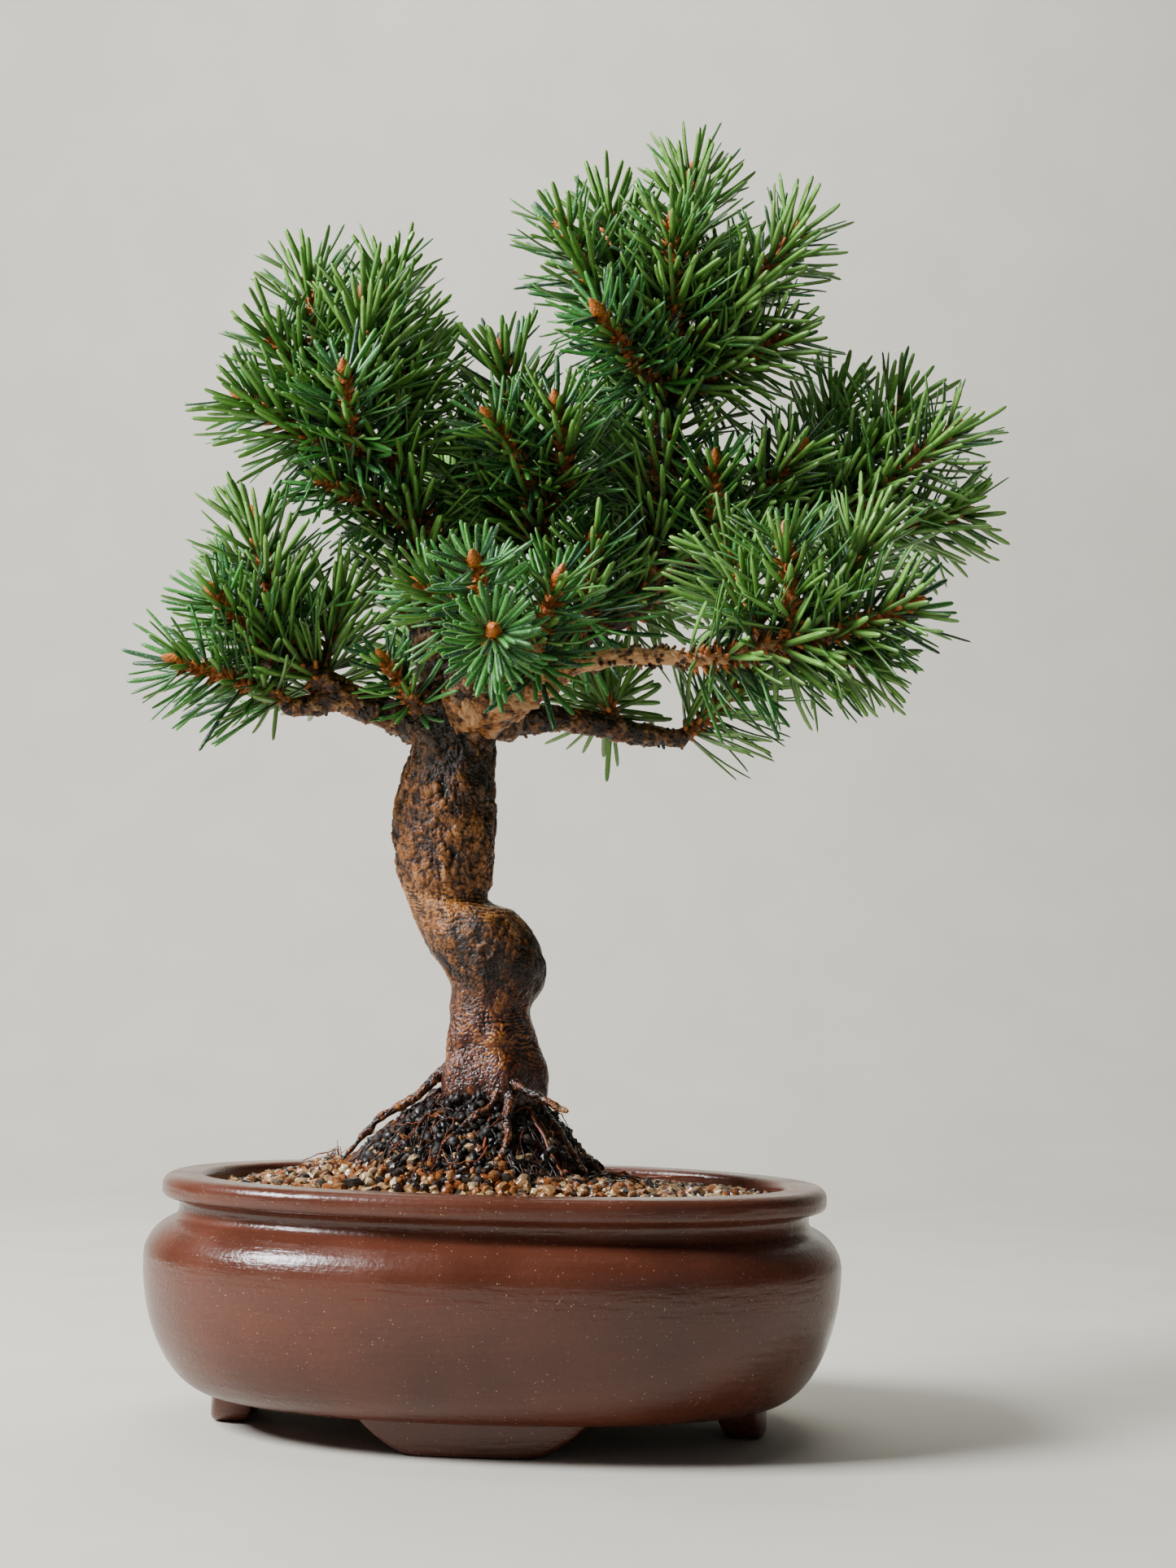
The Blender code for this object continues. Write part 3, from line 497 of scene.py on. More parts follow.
def burnished_clay(settings):
    """Unglazed stoneware, rubbed smooth before firing: brown-red, faintly clouded, with fine pale mica specks
    and a grain that breaks up the shine."""
    material, tree, place, shader = new_material("burnished_clay")
    cloud = add_node(tree, "ShaderNodeTexNoise", None, {
        "Vector": place, "Scale": per_metre(22), "Detail": 6.0,
    })
    stretch = add_node(tree, "ShaderNodeMapping", None, {"Vector": place, "Scale": (1.0, 1.0, 9.0)})
    bands = add_node(
        tree, "ShaderNodeTexNoise", None, {"Vector": stretch.outputs[0], "Scale": per_metre(16), "Detail": 5.0},
    )
    total = add_node(tree, "ShaderNodeMath", {"operation": "MULTIPLY_ADD"}, {
        0: bands.outputs[0], 1: 0.2, 2: cloud.outputs[0],
    })
    body = add_node(tree, "ShaderNodeValToRGB", {
        "stops": [(0.25, settings.clay_dark), (0.8, settings.clay)],
    }, {"Fac": total.outputs[0]})
    specks = add_node(tree, "ShaderNodeTexVoronoi", None, {"Vector": place, "Scale": per_metre(0.6)})
    few = add_node(tree, "ShaderNodeSeparateColor", None, {0: specks.outputs["Color"]})
    size = add_node(tree, "ShaderNodeMath", {"operation": "MULTIPLY"}, {0: few.outputs[0], 1: few.outputs[1]})
    reach = add_node(tree, "ShaderNodeMath", {"operation": "MULTIPLY_ADD"}, {
        0: size.outputs[0], 1: 0.62, 2: -0.22,
    })
    hit = add_node(tree, "ShaderNodeMath", {"operation": "LESS_THAN"}, {
        0: specks.outputs["Distance"], 1: reach.outputs[0],
    })
    faint = add_node(tree, "ShaderNodeMath", {"operation": "MULTIPLY"}, {0: few.outputs[2], 1: 0.6})
    strength = add_node(tree, "ShaderNodeMath", {"operation": "MULTIPLY"}, {
        0: hit.outputs[0], 1: faint.outputs[0],
    })
    colour = add_node(tree, "ShaderNodeMix", {"data_type": "RGBA"}, {
        0: strength.outputs[0], 6: body.outputs[0], 7: (*settings.clay_speck, 1.0),
    })
    grain = add_node(tree, "ShaderNodeTexNoise", None, {
        "Vector": place, "Scale": per_metre(1.5), "Detail": 6.0,
    })
    rough = add_node(tree, "ShaderNodeMapRange", None, {
        "Value": total.outputs[0], "From Min": 0.45, "From Max": 0.75, "To Min": 0.18, "To Max": 0.32,
    })
    relief = add_node(tree, "ShaderNodeMath", {"operation": "MULTIPLY_ADD"}, {
        0: bands.outputs[0], 1: 2.0, 2: grain.outputs[0],
    })
    bump = add_node(tree, "ShaderNodeBump", None, {
        "Strength": 0.6, "Distance": 0.2 * MM, "Height": relief.outputs[0],
    })
    tree.links.new(colour.outputs[2], shader.inputs["Base Color"])
    tree.links.new(rough.outputs[0], shader.inputs["Roughness"])
    tree.links.new(bump.outputs[0], shader.inputs["Normal"])
    return material


def bark_material(settings):
    """Pine bark from young to old, dry to wet. The attributes say what each spot is: relief runs from crack
    to ridge, age from ochre skin to dark scales, pale is bare young wood, and wet darkens, reddens and
    polishes. Where relief is low the colour is also multiplied darker, as painted shade in the cracks and
    hollows. On the trunk, age also carries painted shade down the right side."""
    material, tree, place, shader = new_material("scaly_pine_bark")
    relief, age, pale, wet = (
        add_node(tree, "ShaderNodeAttribute", {"attribute_name": name}).outputs["Fac"]
        for name in ("relief", "age", "pale", "wet")
    )
    fine = add_node(tree, "ShaderNodeTexNoise", None, {
        "Vector": place, "Scale": per_metre(1.1), "Detail": 7.0,
    })
    broad = add_node(tree, "ShaderNodeTexNoise", None, {
        "Vector": place, "Scale": per_metre(8), "Detail": 5.0,
    })
    flakes = add_node(tree, "ShaderNodeTexVoronoi", {"feature": "DISTANCE_TO_EDGE"}, {
        "Vector": place, "Scale": per_metre(1.3),
    })
    grain = add_node(tree, "ShaderNodeMath", {"operation": "MULTIPLY_ADD"}, {
        0: fine.outputs[0], 1: 1.1, 2: -0.55,
    })
    height = add_node(tree, "ShaderNodeMath", {"operation": "ADD"}, {0: relief, 1: grain.outputs[0]})
    young = add_node(tree, "ShaderNodeValToRGB", {
        "stops": [(0.08, settings.crack), (0.42, settings.flesh), (0.75, settings.ridge), (1.0, settings.pale)],
    }, {"Fac": height.outputs[0]})
    aged = add_node(tree, "ShaderNodeValToRGB", {
        "stops": [(0.15, settings.crack), (0.62, settings.old), (0.85, settings.flesh), (1.0, settings.lichen)],
    }, {"Fac": height.outputs[0]})
    spread = add_node(tree, "ShaderNodeMath", {"operation": "MULTIPLY_ADD"}, {
        0: broad.outputs[0], 1: 2.4, 2: -1.2,
    })
    share = add_node(tree, "ShaderNodeMath", {"operation": "ADD", "use_clamp": True}, {
        0: age, 1: spread.outputs[0],
    })
    dry = add_node(tree, "ShaderNodeMix", {"data_type": "RGBA"}, {
        0: share.outputs[0], 6: young.outputs[0], 7: aged.outputs[0],
    })
    bare = add_node(tree, "ShaderNodeMix", {"data_type": "RGBA"}, {
        0: pale, 6: dry.outputs[2], 7: (*settings.pale, 1.0),
    })
    damp = add_node(tree, "ShaderNodeValToRGB", {
        "stops": [(0.2, settings.crack), (0.6, settings.damp), (1.0, settings.ridge)],
    }, {"Fac": height.outputs[0]})
    soaked = add_node(tree, "ShaderNodeMix", {"data_type": "RGBA"}, {
        0: wet, 6: bare.outputs[2], 7: damp.outputs[0],
    })
    # Painted shade: the colour is multiplied down to a fifth where the bark is lowest, in its cracks and
    # hollows.
    shade = add_node(tree, "ShaderNodeMapRange", None, {
        "Value": height.outputs[0], "From Min": 0.1, "From Max": 0.45, "To Min": 0.2, "To Max": 1.0,
    })
    colour = add_node(tree, "ShaderNodeMix", {"data_type": "RGBA", "blend_type": "MULTIPLY"}, {
        0: 1.0, 6: soaked.outputs[2], 7: shade.outputs[0],
    })
    dull = add_node(tree, "ShaderNodeMapRange", None, {
        "Value": broad.outputs[0], "From Min": 0.35, "From Max": 0.65, "To Min": 0.26, "To Max": 0.58,
    })
    rough = add_node(tree, "ShaderNodeMix", {"data_type": "FLOAT"}, {0: wet, 2: dull.outputs[0], 3: 0.24})
    rise = add_node(tree, "ShaderNodeMath", {"operation": "MULTIPLY_ADD"}, {
        0: flakes.outputs["Distance"], 1: 0.9, 2: fine.outputs[0],
    })
    bump = add_node(tree, "ShaderNodeBump", None, {
        "Strength": 1.0, "Distance": 0.5 * MM, "Height": rise.outputs[0],
    })
    tree.links.new(colour.outputs[2], shader.inputs["Base Color"])
    tree.links.new(rough.outputs[0], shader.inputs["Roughness"])
    tree.links.new(bump.outputs[0], shader.inputs["Normal"])
    return material


def shared_bark(settings):
    """Return the bark, made the first time that it is asked for."""
    return bpy.data.materials.get("scaly_pine_bark") or bark_material(settings)


def needle_material(settings):
    """Pine needles: waxy blue-green backs, thin pale edges, rows of white wax dots and a few dried tips, each
    needle darkened towards its base as painted shade.
    """
    material, tree, place, shader = new_material("waxy_pine_needle")
    along = add_node(tree, "ShaderNodeAttribute", {"attribute_name": "along"}).outputs["Fac"]
    edge = add_node(tree, "ShaderNodeAttribute", {"attribute_name": "edge"}).outputs["Fac"]
    tone = add_node(tree, "ShaderNodeAttribute", {"attribute_name": "tone"}).outputs["Fac"]
    body = add_node(tree, "ShaderNodeValToRGB", {
        "stops": [(0.0, settings.needle_deep), (1.0, settings.needle_bright)],
    }, {"Fac": tone})
    rim = add_node(tree, "ShaderNodeMapRange", None, {
        "Value": edge, "From Min": 0.5, "From Max": 1.0, "To Min": 0.0, "To Max": 0.45,
    })
    edged = add_node(tree, "ShaderNodeMix", {"data_type": "RGBA"}, {
        0: rim.outputs[0], 6: body.outputs[0], 7: (*settings.needle_edge, 1.0),
    })
    dots = add_node(tree, "ShaderNodeTexVoronoi", None, {"Vector": place, "Scale": per_metre(0.75)})
    dot = add_node(tree, "ShaderNodeMapRange", None, {
        "Value": dots.outputs["Distance"], "From Min": 0.14, "From Max": 0.26, "To Min": 0.5, "To Max": 0.0,
    })
    waxed = add_node(tree, "ShaderNodeMix", {"data_type": "RGBA"}, {
        0: dot.outputs[0], 6: edged.outputs[2], 7: (*settings.needle_wax, 1.0),
    })
    # Painted shade: each needle's colour is multiplied down to a quarter at its base, where the needles crowd
    # round the stem.
    foot = add_node(tree, "ShaderNodeMapRange", None, {
        "Value": along, "From Min": 0.0, "From Max": 0.55, "To Min": 0.25, "To Max": 1.0,
    })
    shaded = add_node(tree, "ShaderNodeMix", {"data_type": "RGBA", "blend_type": "MULTIPLY"}, {
        0: 1.0, 6: waxed.outputs[2], 7: foot.outputs[0],
    })
    end = add_node(tree, "ShaderNodeMath", {"operation": "MULTIPLY_ADD"}, {0: tone, 1: 0.35, 2: along})
    dry = add_node(tree, "ShaderNodeMapRange", None, {
        "Value": end.outputs[0], "From Min": 1.3, "From Max": 1.36, "To Min": 0.0, "To Max": 0.85,
    })
    colour = add_node(tree, "ShaderNodeMix", {"data_type": "RGBA"}, {
        0: dry.outputs[0], 6: shaded.outputs[2], 7: (*settings.needle_dry, 1.0),
    })
    tree.links.new(colour.outputs[2], shader.inputs["Base Color"])
    shader.inputs["Roughness"].default_value = 0.34
    shader.inputs["Subsurface Weight"].default_value = 0.12
    shader.inputs["Subsurface Radius"].default_value = (0.0008, 0.0015, 0.0005)
    return material


def papery_material(name, base, rim, roughness):
    """Dry papery scales: a warm brown whose rims, where the relief attribute is high, are paler, and whose low
    places are darker: painted shade in the hollows under the bud scales and between the stem's knobs, and a
    darker tone at random on the sheaths and hair roots.
    """
    material, tree, place, shader = new_material(name)
    relief = add_node(tree, "ShaderNodeAttribute", {"attribute_name": "relief"}).outputs["Fac"]
    fibre = add_node(tree, "ShaderNodeTexNoise", None, {
        "Vector": place, "Scale": per_metre(0.9), "Detail": 4.0,
    })
    height = add_node(tree, "ShaderNodeMath", {"operation": "MULTIPLY_ADD"}, {
        0: fibre.outputs[0], 1: 0.7, 2: relief,
    })
    # dark, a quarter of the base, is painted shade in the hollows of buds and stems, and a random darker tone
    # on sheaths and hair roots.
    dark = tuple(channel * 0.25 for channel in base)
    ramp = add_node(tree, "ShaderNodeValToRGB", {
        "stops": [(0.25, dark), (0.6, tuple(base)), (1.0, tuple(rim))],
    }, {"Fac": height.outputs[0]})
    bump = add_node(tree, "ShaderNodeBump", None, {
        "Strength": 0.5, "Distance": 0.2 * MM, "Height": fibre.outputs[0],
    })
    tree.links.new(ramp.outputs[0], shader.inputs["Base Color"])
    tree.links.new(bump.outputs[0], shader.inputs["Normal"])
    shader.inputs["Roughness"].default_value = roughness
    return material


def peat_material(settings):
    """Damp peat and leaf mould: nearly black, with drier brown crumbs and a wet gleam."""
    material, tree, place, shader = new_material("damp_peat")
    crumbs = add_node(tree, "ShaderNodeTexNoise", None, {
        "Vector": place, "Scale": per_metre(2.5), "Detail": 7.0,
    })
    ramp = add_node(tree, "ShaderNodeValToRGB", {
        "stops": [(0.45, settings.peat), (0.75, settings.peat_dry)],
    }, {"Fac": crumbs.outputs[0]})
    rough = add_node(tree, "ShaderNodeMapRange", None, {
        "Value": crumbs.outputs[0], "From Min": 0.4, "From Max": 0.6, "To Min": 0.35, "To Max": 0.75,
    })
    bump = add_node(tree, "ShaderNodeBump", None, {
        "Strength": 0.9, "Distance": 0.6 * MM, "Height": crumbs.outputs[0],
    })
    tree.links.new(ramp.outputs[0], shader.inputs["Base Color"])
    tree.links.new(rough.outputs[0], shader.inputs["Roughness"])
    tree.links.new(bump.outputs[0], shader.inputs["Normal"])
    return material


def grit_material(settings):
    """Washed river grit: tan, cream, rust and slate stones, each with its own mottling and a damp polish."""
    material, tree, place, shader = new_material("washed_grit")
    tone = add_node(tree, "ShaderNodeAttribute", {"attribute_name": "tone"}).outputs["Fac"]
    ramp = add_node(tree, "ShaderNodeValToRGB", {"stops": [
        (0.0, settings.slate), (0.2, settings.peat_dry), (0.36, settings.rust), (0.52, settings.tan),
        (0.68, settings.rust), (0.84, settings.cream), (1.0, settings.tan),
    ]}, {"Fac": tone})
    mottle = add_node(tree, "ShaderNodeTexNoise", None, {
        "Vector": place, "Scale": per_metre(1.1), "Detail": 5.0,
    })
    shade = add_node(tree, "ShaderNodeMapRange", None, {
        "Value": mottle.outputs[0], "From Min": 0.3, "From Max": 0.7, "To Min": 0.3, "To Max": 1.15,
    })
    colour = add_node(tree, "ShaderNodeMix", {"data_type": "RGBA", "blend_type": "MULTIPLY"}, {
        0: 1.0, 6: ramp.outputs[0], 7: shade.outputs[0],
    })
    rough = add_node(tree, "ShaderNodeMapRange", None, {
        "Value": mottle.outputs[0], "From Min": 0.35, "From Max": 0.65, "To Min": 0.1, "To Max": 0.38,
    })
    bump = add_node(tree, "ShaderNodeBump", None, {
        "Strength": 0.5, "Distance": 0.25 * MM, "Height": mottle.outputs[0],
    })
    tree.links.new(colour.outputs[2], shader.inputs["Base Color"])
    tree.links.new(rough.outputs[0], shader.inputs["Roughness"])
    tree.links.new(bump.outputs[0], shader.inputs["Normal"])
    return material


def moulded_material(name, hex_colour, roughness, metallic, grain):
    """A plain made surface, plastic or drawn wire, with its fine grain and slightly uneven shine."""
    material, tree, place, shader = new_material(name)
    noise = add_node(tree, "ShaderNodeTexNoise", None, {
        "Vector": place, "Scale": per_metre(grain), "Detail": 4.0,
    })
    base = linear(hex_colour)
    ramp = add_node(tree, "ShaderNodeValToRGB", {
        "stops": [(0.3, tuple(channel * 0.7 for channel in base)), (0.7, base)],
    }, {"Fac": noise.outputs[0]})
    rough = add_node(tree, "ShaderNodeMapRange", None, {
        "Value": noise.outputs[0], "From Min": 0.3, "From Max": 0.7, "To Min": roughness - 0.08,
        "To Max": roughness + 0.1,
    })
    tree.links.new(ramp.outputs[0], shader.inputs["Base Color"])
    tree.links.new(rough.outputs[0], shader.inputs["Roughness"])
    shader.inputs["Metallic"].default_value = metallic
    return material


# ---------------------------------------------------------------- pot

# The power of the pot's oval: 2 would be an ellipse, and more is squarer.
OVAL_POWER = 2.2


def superellipse(turn, half_length, half_width):
    """Return x and y on an oval a little squarer than an ellipse: each is its half size times the cosine or
    sine to the power 2 / OVAL_POWER."""
    power = 2 / OVAL_POWER
    cosine, sine = np.cos(turn), np.sin(turn)
    x = half_length * np.sign(cosine) * abs(cosine) ** power
    return x, half_width * np.sign(sine) * abs(sine) ** power


def arc(centre, radii, first, last, steps):
    """Return rows on an ellipse's edge from one angle to another, in degrees."""
    turn = np.radians(np.linspace(first, last, steps))[:, None]
    return np.array(centre) + np.array(radii) * np.hstack([np.cos(turn), np.sin(turn)])


def pot_profile(settings):
    """Return (half length, height) rows from the middle of the underside, up the outside and down the inside:
    the belly is two elliptical arcs, the neck a cove, and the rim a band with rounded edges. Until the last
    line everything is in millimetres."""
    top = POT_HIGH[2] / MM
    belly = (POT_HIGH[0] - POT_CENTRE[0]) / MM
    base, wide = settings.base_half_length / MM, settings.belly_height / MM
    neck, groove = settings.neck_half_length / MM, settings.neck_height / MM
    rim, mouth = settings.rim_half_length / MM, settings.mouth_half_length / MM
    floor, inside = settings.floor_underside / MM, settings.floor_top / MM
    rows = [
        [(base - 6, floor)],
        arc((base, wide), (belly - base, wide - floor), -90, 0, 34),
        arc((belly - 13.5, wide), (13.5, 11.9), 4, 65, 16),
        arc((neck + 3, groove - 0.5), (3, 3), 245, 180, 8),
        arc((neck + 2.4, groove + 0.2), (2.4, 2.4), 180, 110, 8),
        arc((rim - 1.6, top - 4.6), (1.6, 1.8), -90, 0, 7),
        arc((rim - 3, top - 3), (3, 3), 0, 90, 12),
        arc((mouth + 1.8, top - 1.8), (1.8, 1.8), 90, 180, 7),
        [(mouth - 0.5, 63), (mouth + 3, 56), (mouth + 9.5, 46), (mouth + 7, 30), (mouth - 0.5, inside + 4)],
        [(mouth - 10.5, inside)],
    ]
    return np.concatenate([np.asarray(part, float) for part in rows]) * MM


def lathe_oval(profile, difference, columns):
    """Return a (rows, columns, 3) grid: the profile carried round the oval, narrower across by difference."""
    turn = circle(columns)
    half = profile[:, :1]
    x, y = superellipse(turn[None], half, half - difference)
    return np.stack([x, y, np.broadcast_to(profile[:, 1:], x.shape)], axis=-1) + POT_CENTRE


def cloud_foot(settings, quarter):
    """Return one foot: a curved block under the edge of the floor. Its lower edge falls from each end like
    a bowl: by the sine of a quarter turn to the power 0.9 over 55% of the half width, then runs flat."""
    long_side = quarter % 2 == 1
    width = settings.long_foot_width if long_side else settings.short_foot_width
    along = np.linspace(-1, 1, 49)[:, None] * width / 2
    drop = np.clip((1 - abs(along) / (width / 2)) / 0.55, 0, 1)
    floor = settings.floor_underside
    lowest = floor * (1 - np.sin(drop * np.pi / 2) ** 0.9)
    reach = settings.base_half_length + 0.5 * MM
    across = reach - settings.oval_difference
    near, far = (across, reach) if long_side else (reach, across)
    outer = near * (1 - (abs(along) / far) ** OVAL_POWER) ** (1 / OVAL_POWER)
    top = floor + 2 * MM
    inner = outer - settings.foot_thickness
    soft = 1.6 * MM
    out = np.hstack([
        inner, inner + soft * 0.3, inner + soft, outer - 1.5 * MM - lowest * 0.1, outer - 0.5 * MM,
        outer, outer, inner,
    ])
    flat = np.full_like(outer, top)
    height = np.hstack([
        lowest + soft, lowest + soft * 0.3, lowest, lowest, lowest + soft * 0.35, lowest + soft, flat, flat,
    ])
    height = np.minimum(height, top)
    side = np.broadcast_to(along, out.shape)
    sign = -1 if quarter >= 2 else 1
    if long_side:
        grid = np.stack([-sign * side, sign * out, height], axis=-1)
    else:
        grid = np.stack([sign * out, sign * side, height], axis=-1)
    return closed_tube(grid + POT_CENTRE)


def drill(pot, centre, radius, low, high):
    """Cut one round drainage hole through the floor and keep the result as the pot's own mesh."""
    turn = circle(48)
    ring = np.stack([centre[0] + radius * np.cos(turn), centre[1] + radius * np.sin(turn), turn * 0], axis=-1)
    grid = ring[None] + np.array([(0, 0, low), (0, 0, high)])[:, None]
    points, faces = closed_tube(grid)
    mesh = bpy.data.meshes.new("drill")
    mesh.from_pydata(points.tolist(), [], [face for block in faces for face in block.tolist()])
    tool = bpy.data.objects.new("drill", mesh)
    bpy.context.scene.collection.objects.link(tool)
    cut = pot.modifiers.new("Drain", "BOOLEAN")
    cut.operation = "DIFFERENCE"
    cut.object = tool
    bpy.context.view_layer.update()
    result = bpy.data.meshes.new_from_object(pot.evaluated_get(bpy.context.evaluated_depsgraph_get()))
    pot.modifiers.clear()
    pot.data = result
    bpy.data.objects.remove(tool)


class BONSAI_OT_pot(bpy.types.Operator):
    """Build the oval clay pot with its rim, neck, drainage holes and four cloud feet"""

    bl_idname = "bonsai.pot"
    bl_label = "Pot"

    def execute(self, context):
        settings = context.scene.bonsai_pot
        grid = lathe_oval(pot_profile(settings), settings.oval_difference, 256)
        drift = layered_noise(grid, 30 * MM, 5, 2)[..., None] * 0.25 * MM
        outward = unit((grid - POT_CENTRE) * (1, 1, 0) + (0, 0, 1e-6))
        clay = burnished_clay(settings)
        pot = add_piece("pot_body", *closed_tube(grid + outward * drift), clay, slot="clay", replaced=("pot",))
        for sign in (-1, 1):
            centre = POT_CENTRE + (sign * settings.drain_offset, 0, 0)
            low, high = settings.floor_underside - 2 * MM, settings.floor_top + 2 * MM
            drill(pot, centre, settings.drain_radius, low, high)
        feet = joined([(*cloud_foot(settings, quarter), {}) for quarter in range(4)])
        add_piece("pot_feet", *feet[:2], clay, slot="clay", replaced=("pot",))
        for piece in (pot, bpy.data.objects["pot_feet"]):
            piece.data.shade_smooth()
            piece.data.set_sharp_from_angle(angle=math.radians(38))
        return {"FINISHED"}


class BONSAI_OT_drainage(bpy.types.Operator):
    """Finish the mesh squares and wire staples over the drainage holes, and the soil that hides them"""

    bl_idname = "bonsai.drainage"
    bl_label = "Drainage and soil"

    def execute(self, context):
        plastic = moulded_material("moulded_polythene_mesh", "#20211F", 0.5, 0.0, 1.5)
        wire = moulded_material("drawn_aluminium_wire", "#A9A49C", 0.32, 1.0, 0.6)
        peat = peat_material(context.scene.bonsai_ground)
        for side in ("left", "right"):
            give_material("drainage_screen_" + side, plastic)
            give_material("screen_clip_" + side, wire)
        give_material("soil", peat)
        return {"FINISHED"}


def give_material(node, material):
    """Put a material on a node of the packed model."""
    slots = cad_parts[node].data.materials
    slots.clear()
    slots.append(material)


# ---------------------------------------------------------------- ground

MOUND_CENTRE = np.array((-8.0, 0.0)) * MM
MOUND_RADII = np.array((39.0, 36.0)) * MM
MOUND_SUMMIT = np.array((-2.0, 0.0)) * MM
GROUND_BOTTOM = 57 * MM
# The power by which the ground falls away: 1 would be a cone, and more is rounder at the top.
FALL_POWER = 1.4
# A stone's corners: three rings of six and two poles.
STONE_CORNERS = 20


def mound_outline(turn):
    """Return x and y of the root ball's edge: an oval whose radius swells by 3.5% in five lobes."""
    lobes = 1 + 0.035 * np.sin(5 * turn + 0.6)
    return np.stack([
        MOUND_CENTRE[0] + MOUND_RADII[0] * lobes * np.cos(turn),
        MOUND_CENTRE[1] + MOUND_RADII[1] * lobes * np.sin(turn),
    ], axis=-1)


def ground_height(x, y, settings):
    """Return the height of the ground at x and y from the pot's centre. On the root ball it falls from the
    summit with the distance share to the power FALL_POWER; beyond it the gravel falls to the wall with what
    is left of the way to the same power, higher at the left."""
    turns = np.linspace(0, 2 * np.pi, 181)
    edge = mound_outline(turns) - MOUND_SUMMIT
    edge_turn = np.unwrap(np.arctan2(edge[:, 1], edge[:, 0]))
    order = np.argsort(np.mod(edge_turn, 2 * np.pi))
    angles = np.mod(edge_turn, 2 * np.pi)[order]
    lengths = np.hypot(edge[:, 0], edge[:, 1])[order]
    turn = np.mod(np.arctan2(y - MOUND_SUMMIT[1], x - MOUND_SUMMIT[0]), 2 * np.pi)
    reach = np.interp(turn, angles, lengths, period=2 * np.pi)
    away = np.hypot(x - MOUND_SUMMIT[0], y - MOUND_SUMMIT[1])
    share = away / reach
    mound = settings.mound_foot + settings.mound_rise * (1 - np.minimum(share, 1) ** FALL_POWER)
    pot = bpy.context.scene.bonsai_pot
    mouth = pot.mouth_half_length
    across = mouth - pot.oval_difference
    oval = ((abs(x) / mouth) ** OVAL_POWER + (abs(y) / across) ** OVAL_POWER) ** (1 / OVAL_POWER)
    outside = np.clip((1 - oval) / np.maximum(1 - oval / np.maximum(share, 1), 1e-6), 0, 1)
    heap = 1 + 0.35 * np.cos(turn - 3.6)
    gravel = settings.gravel_height + settings.gravel_rise * heap * outside ** FALL_POWER
    return np.where(share < 1, mound, gravel), share, oval


def stone_shapes(rng, count, size, spread, thinnest, roughness):
    """Return (count, corners, 3) stones and their faces: a ball of three rings of six corners and two poles,
    each corner pushed in or out at random by up to roughness, each stone squeezed to between thinnest and 1
    of its size along each axis and turned at random."""
    tilt = np.array([0.25, 0.5, 0.75]) * np.pi
    turn = np.arange(6) / 6 * 2 * np.pi
    rings = [
        np.stack([
            np.sin(t) * np.cos(turn + k * 0.5), np.sin(t) * np.sin(turn + k * 0.5), np.cos(t) + turn * 0,
        ], -1)
        for k, t in enumerate(tilt)
    ]
    ball = np.concatenate([*rings, [[0, 0, 1.0]], [[0, 0, -1.0]]])
    first = np.arange(6)
    after = (first + 1) % 6
    sides = np.concatenate([
        np.stack([first + a, first + a + 6, after + a + 6, after + a], -1) for a in (0, 6)
    ])
    ends = np.concatenate([
        np.stack([first, after, np.full(6, 18)], -1), np.stack([after + 12, first + 12, np.full(6, 19)], -1),
    ])
    shape = ball[None] * (1 + roughness * rng.uniform(-1, 1, (count, STONE_CORNERS, 1)))
    shape = shape * rng.uniform(thinnest, 1.0, (count, 1, 3)) * size
    shape = shape * rng.uniform(1 - spread, 1 + spread, (count, 1, 1))
    basis = np.linalg.qr(rng.normal(size=(count, 3, 3)))[0]
    basis *= np.sign(np.linalg.det(basis))[:, None, None]
    return np.einsum("cij,cpj->cpi", basis, shape) / 2, [sides, ends]


def scatter(rng, pitch, jitter):
    """Return x and y of a hexagonal field of spots over the pot's mouth, each moved a little at random."""
    columns = np.arange(-34, 35)
    x, y = np.meshgrid(columns * pitch, columns * pitch * 0.866)
    x = x + (np.arange(len(columns)) % 2)[:, None] * pitch / 2
    spots = np.stack([x.ravel(), y.ravel()], axis=-1)
    return spots + rng.uniform(-jitter, jitter, spots.shape)


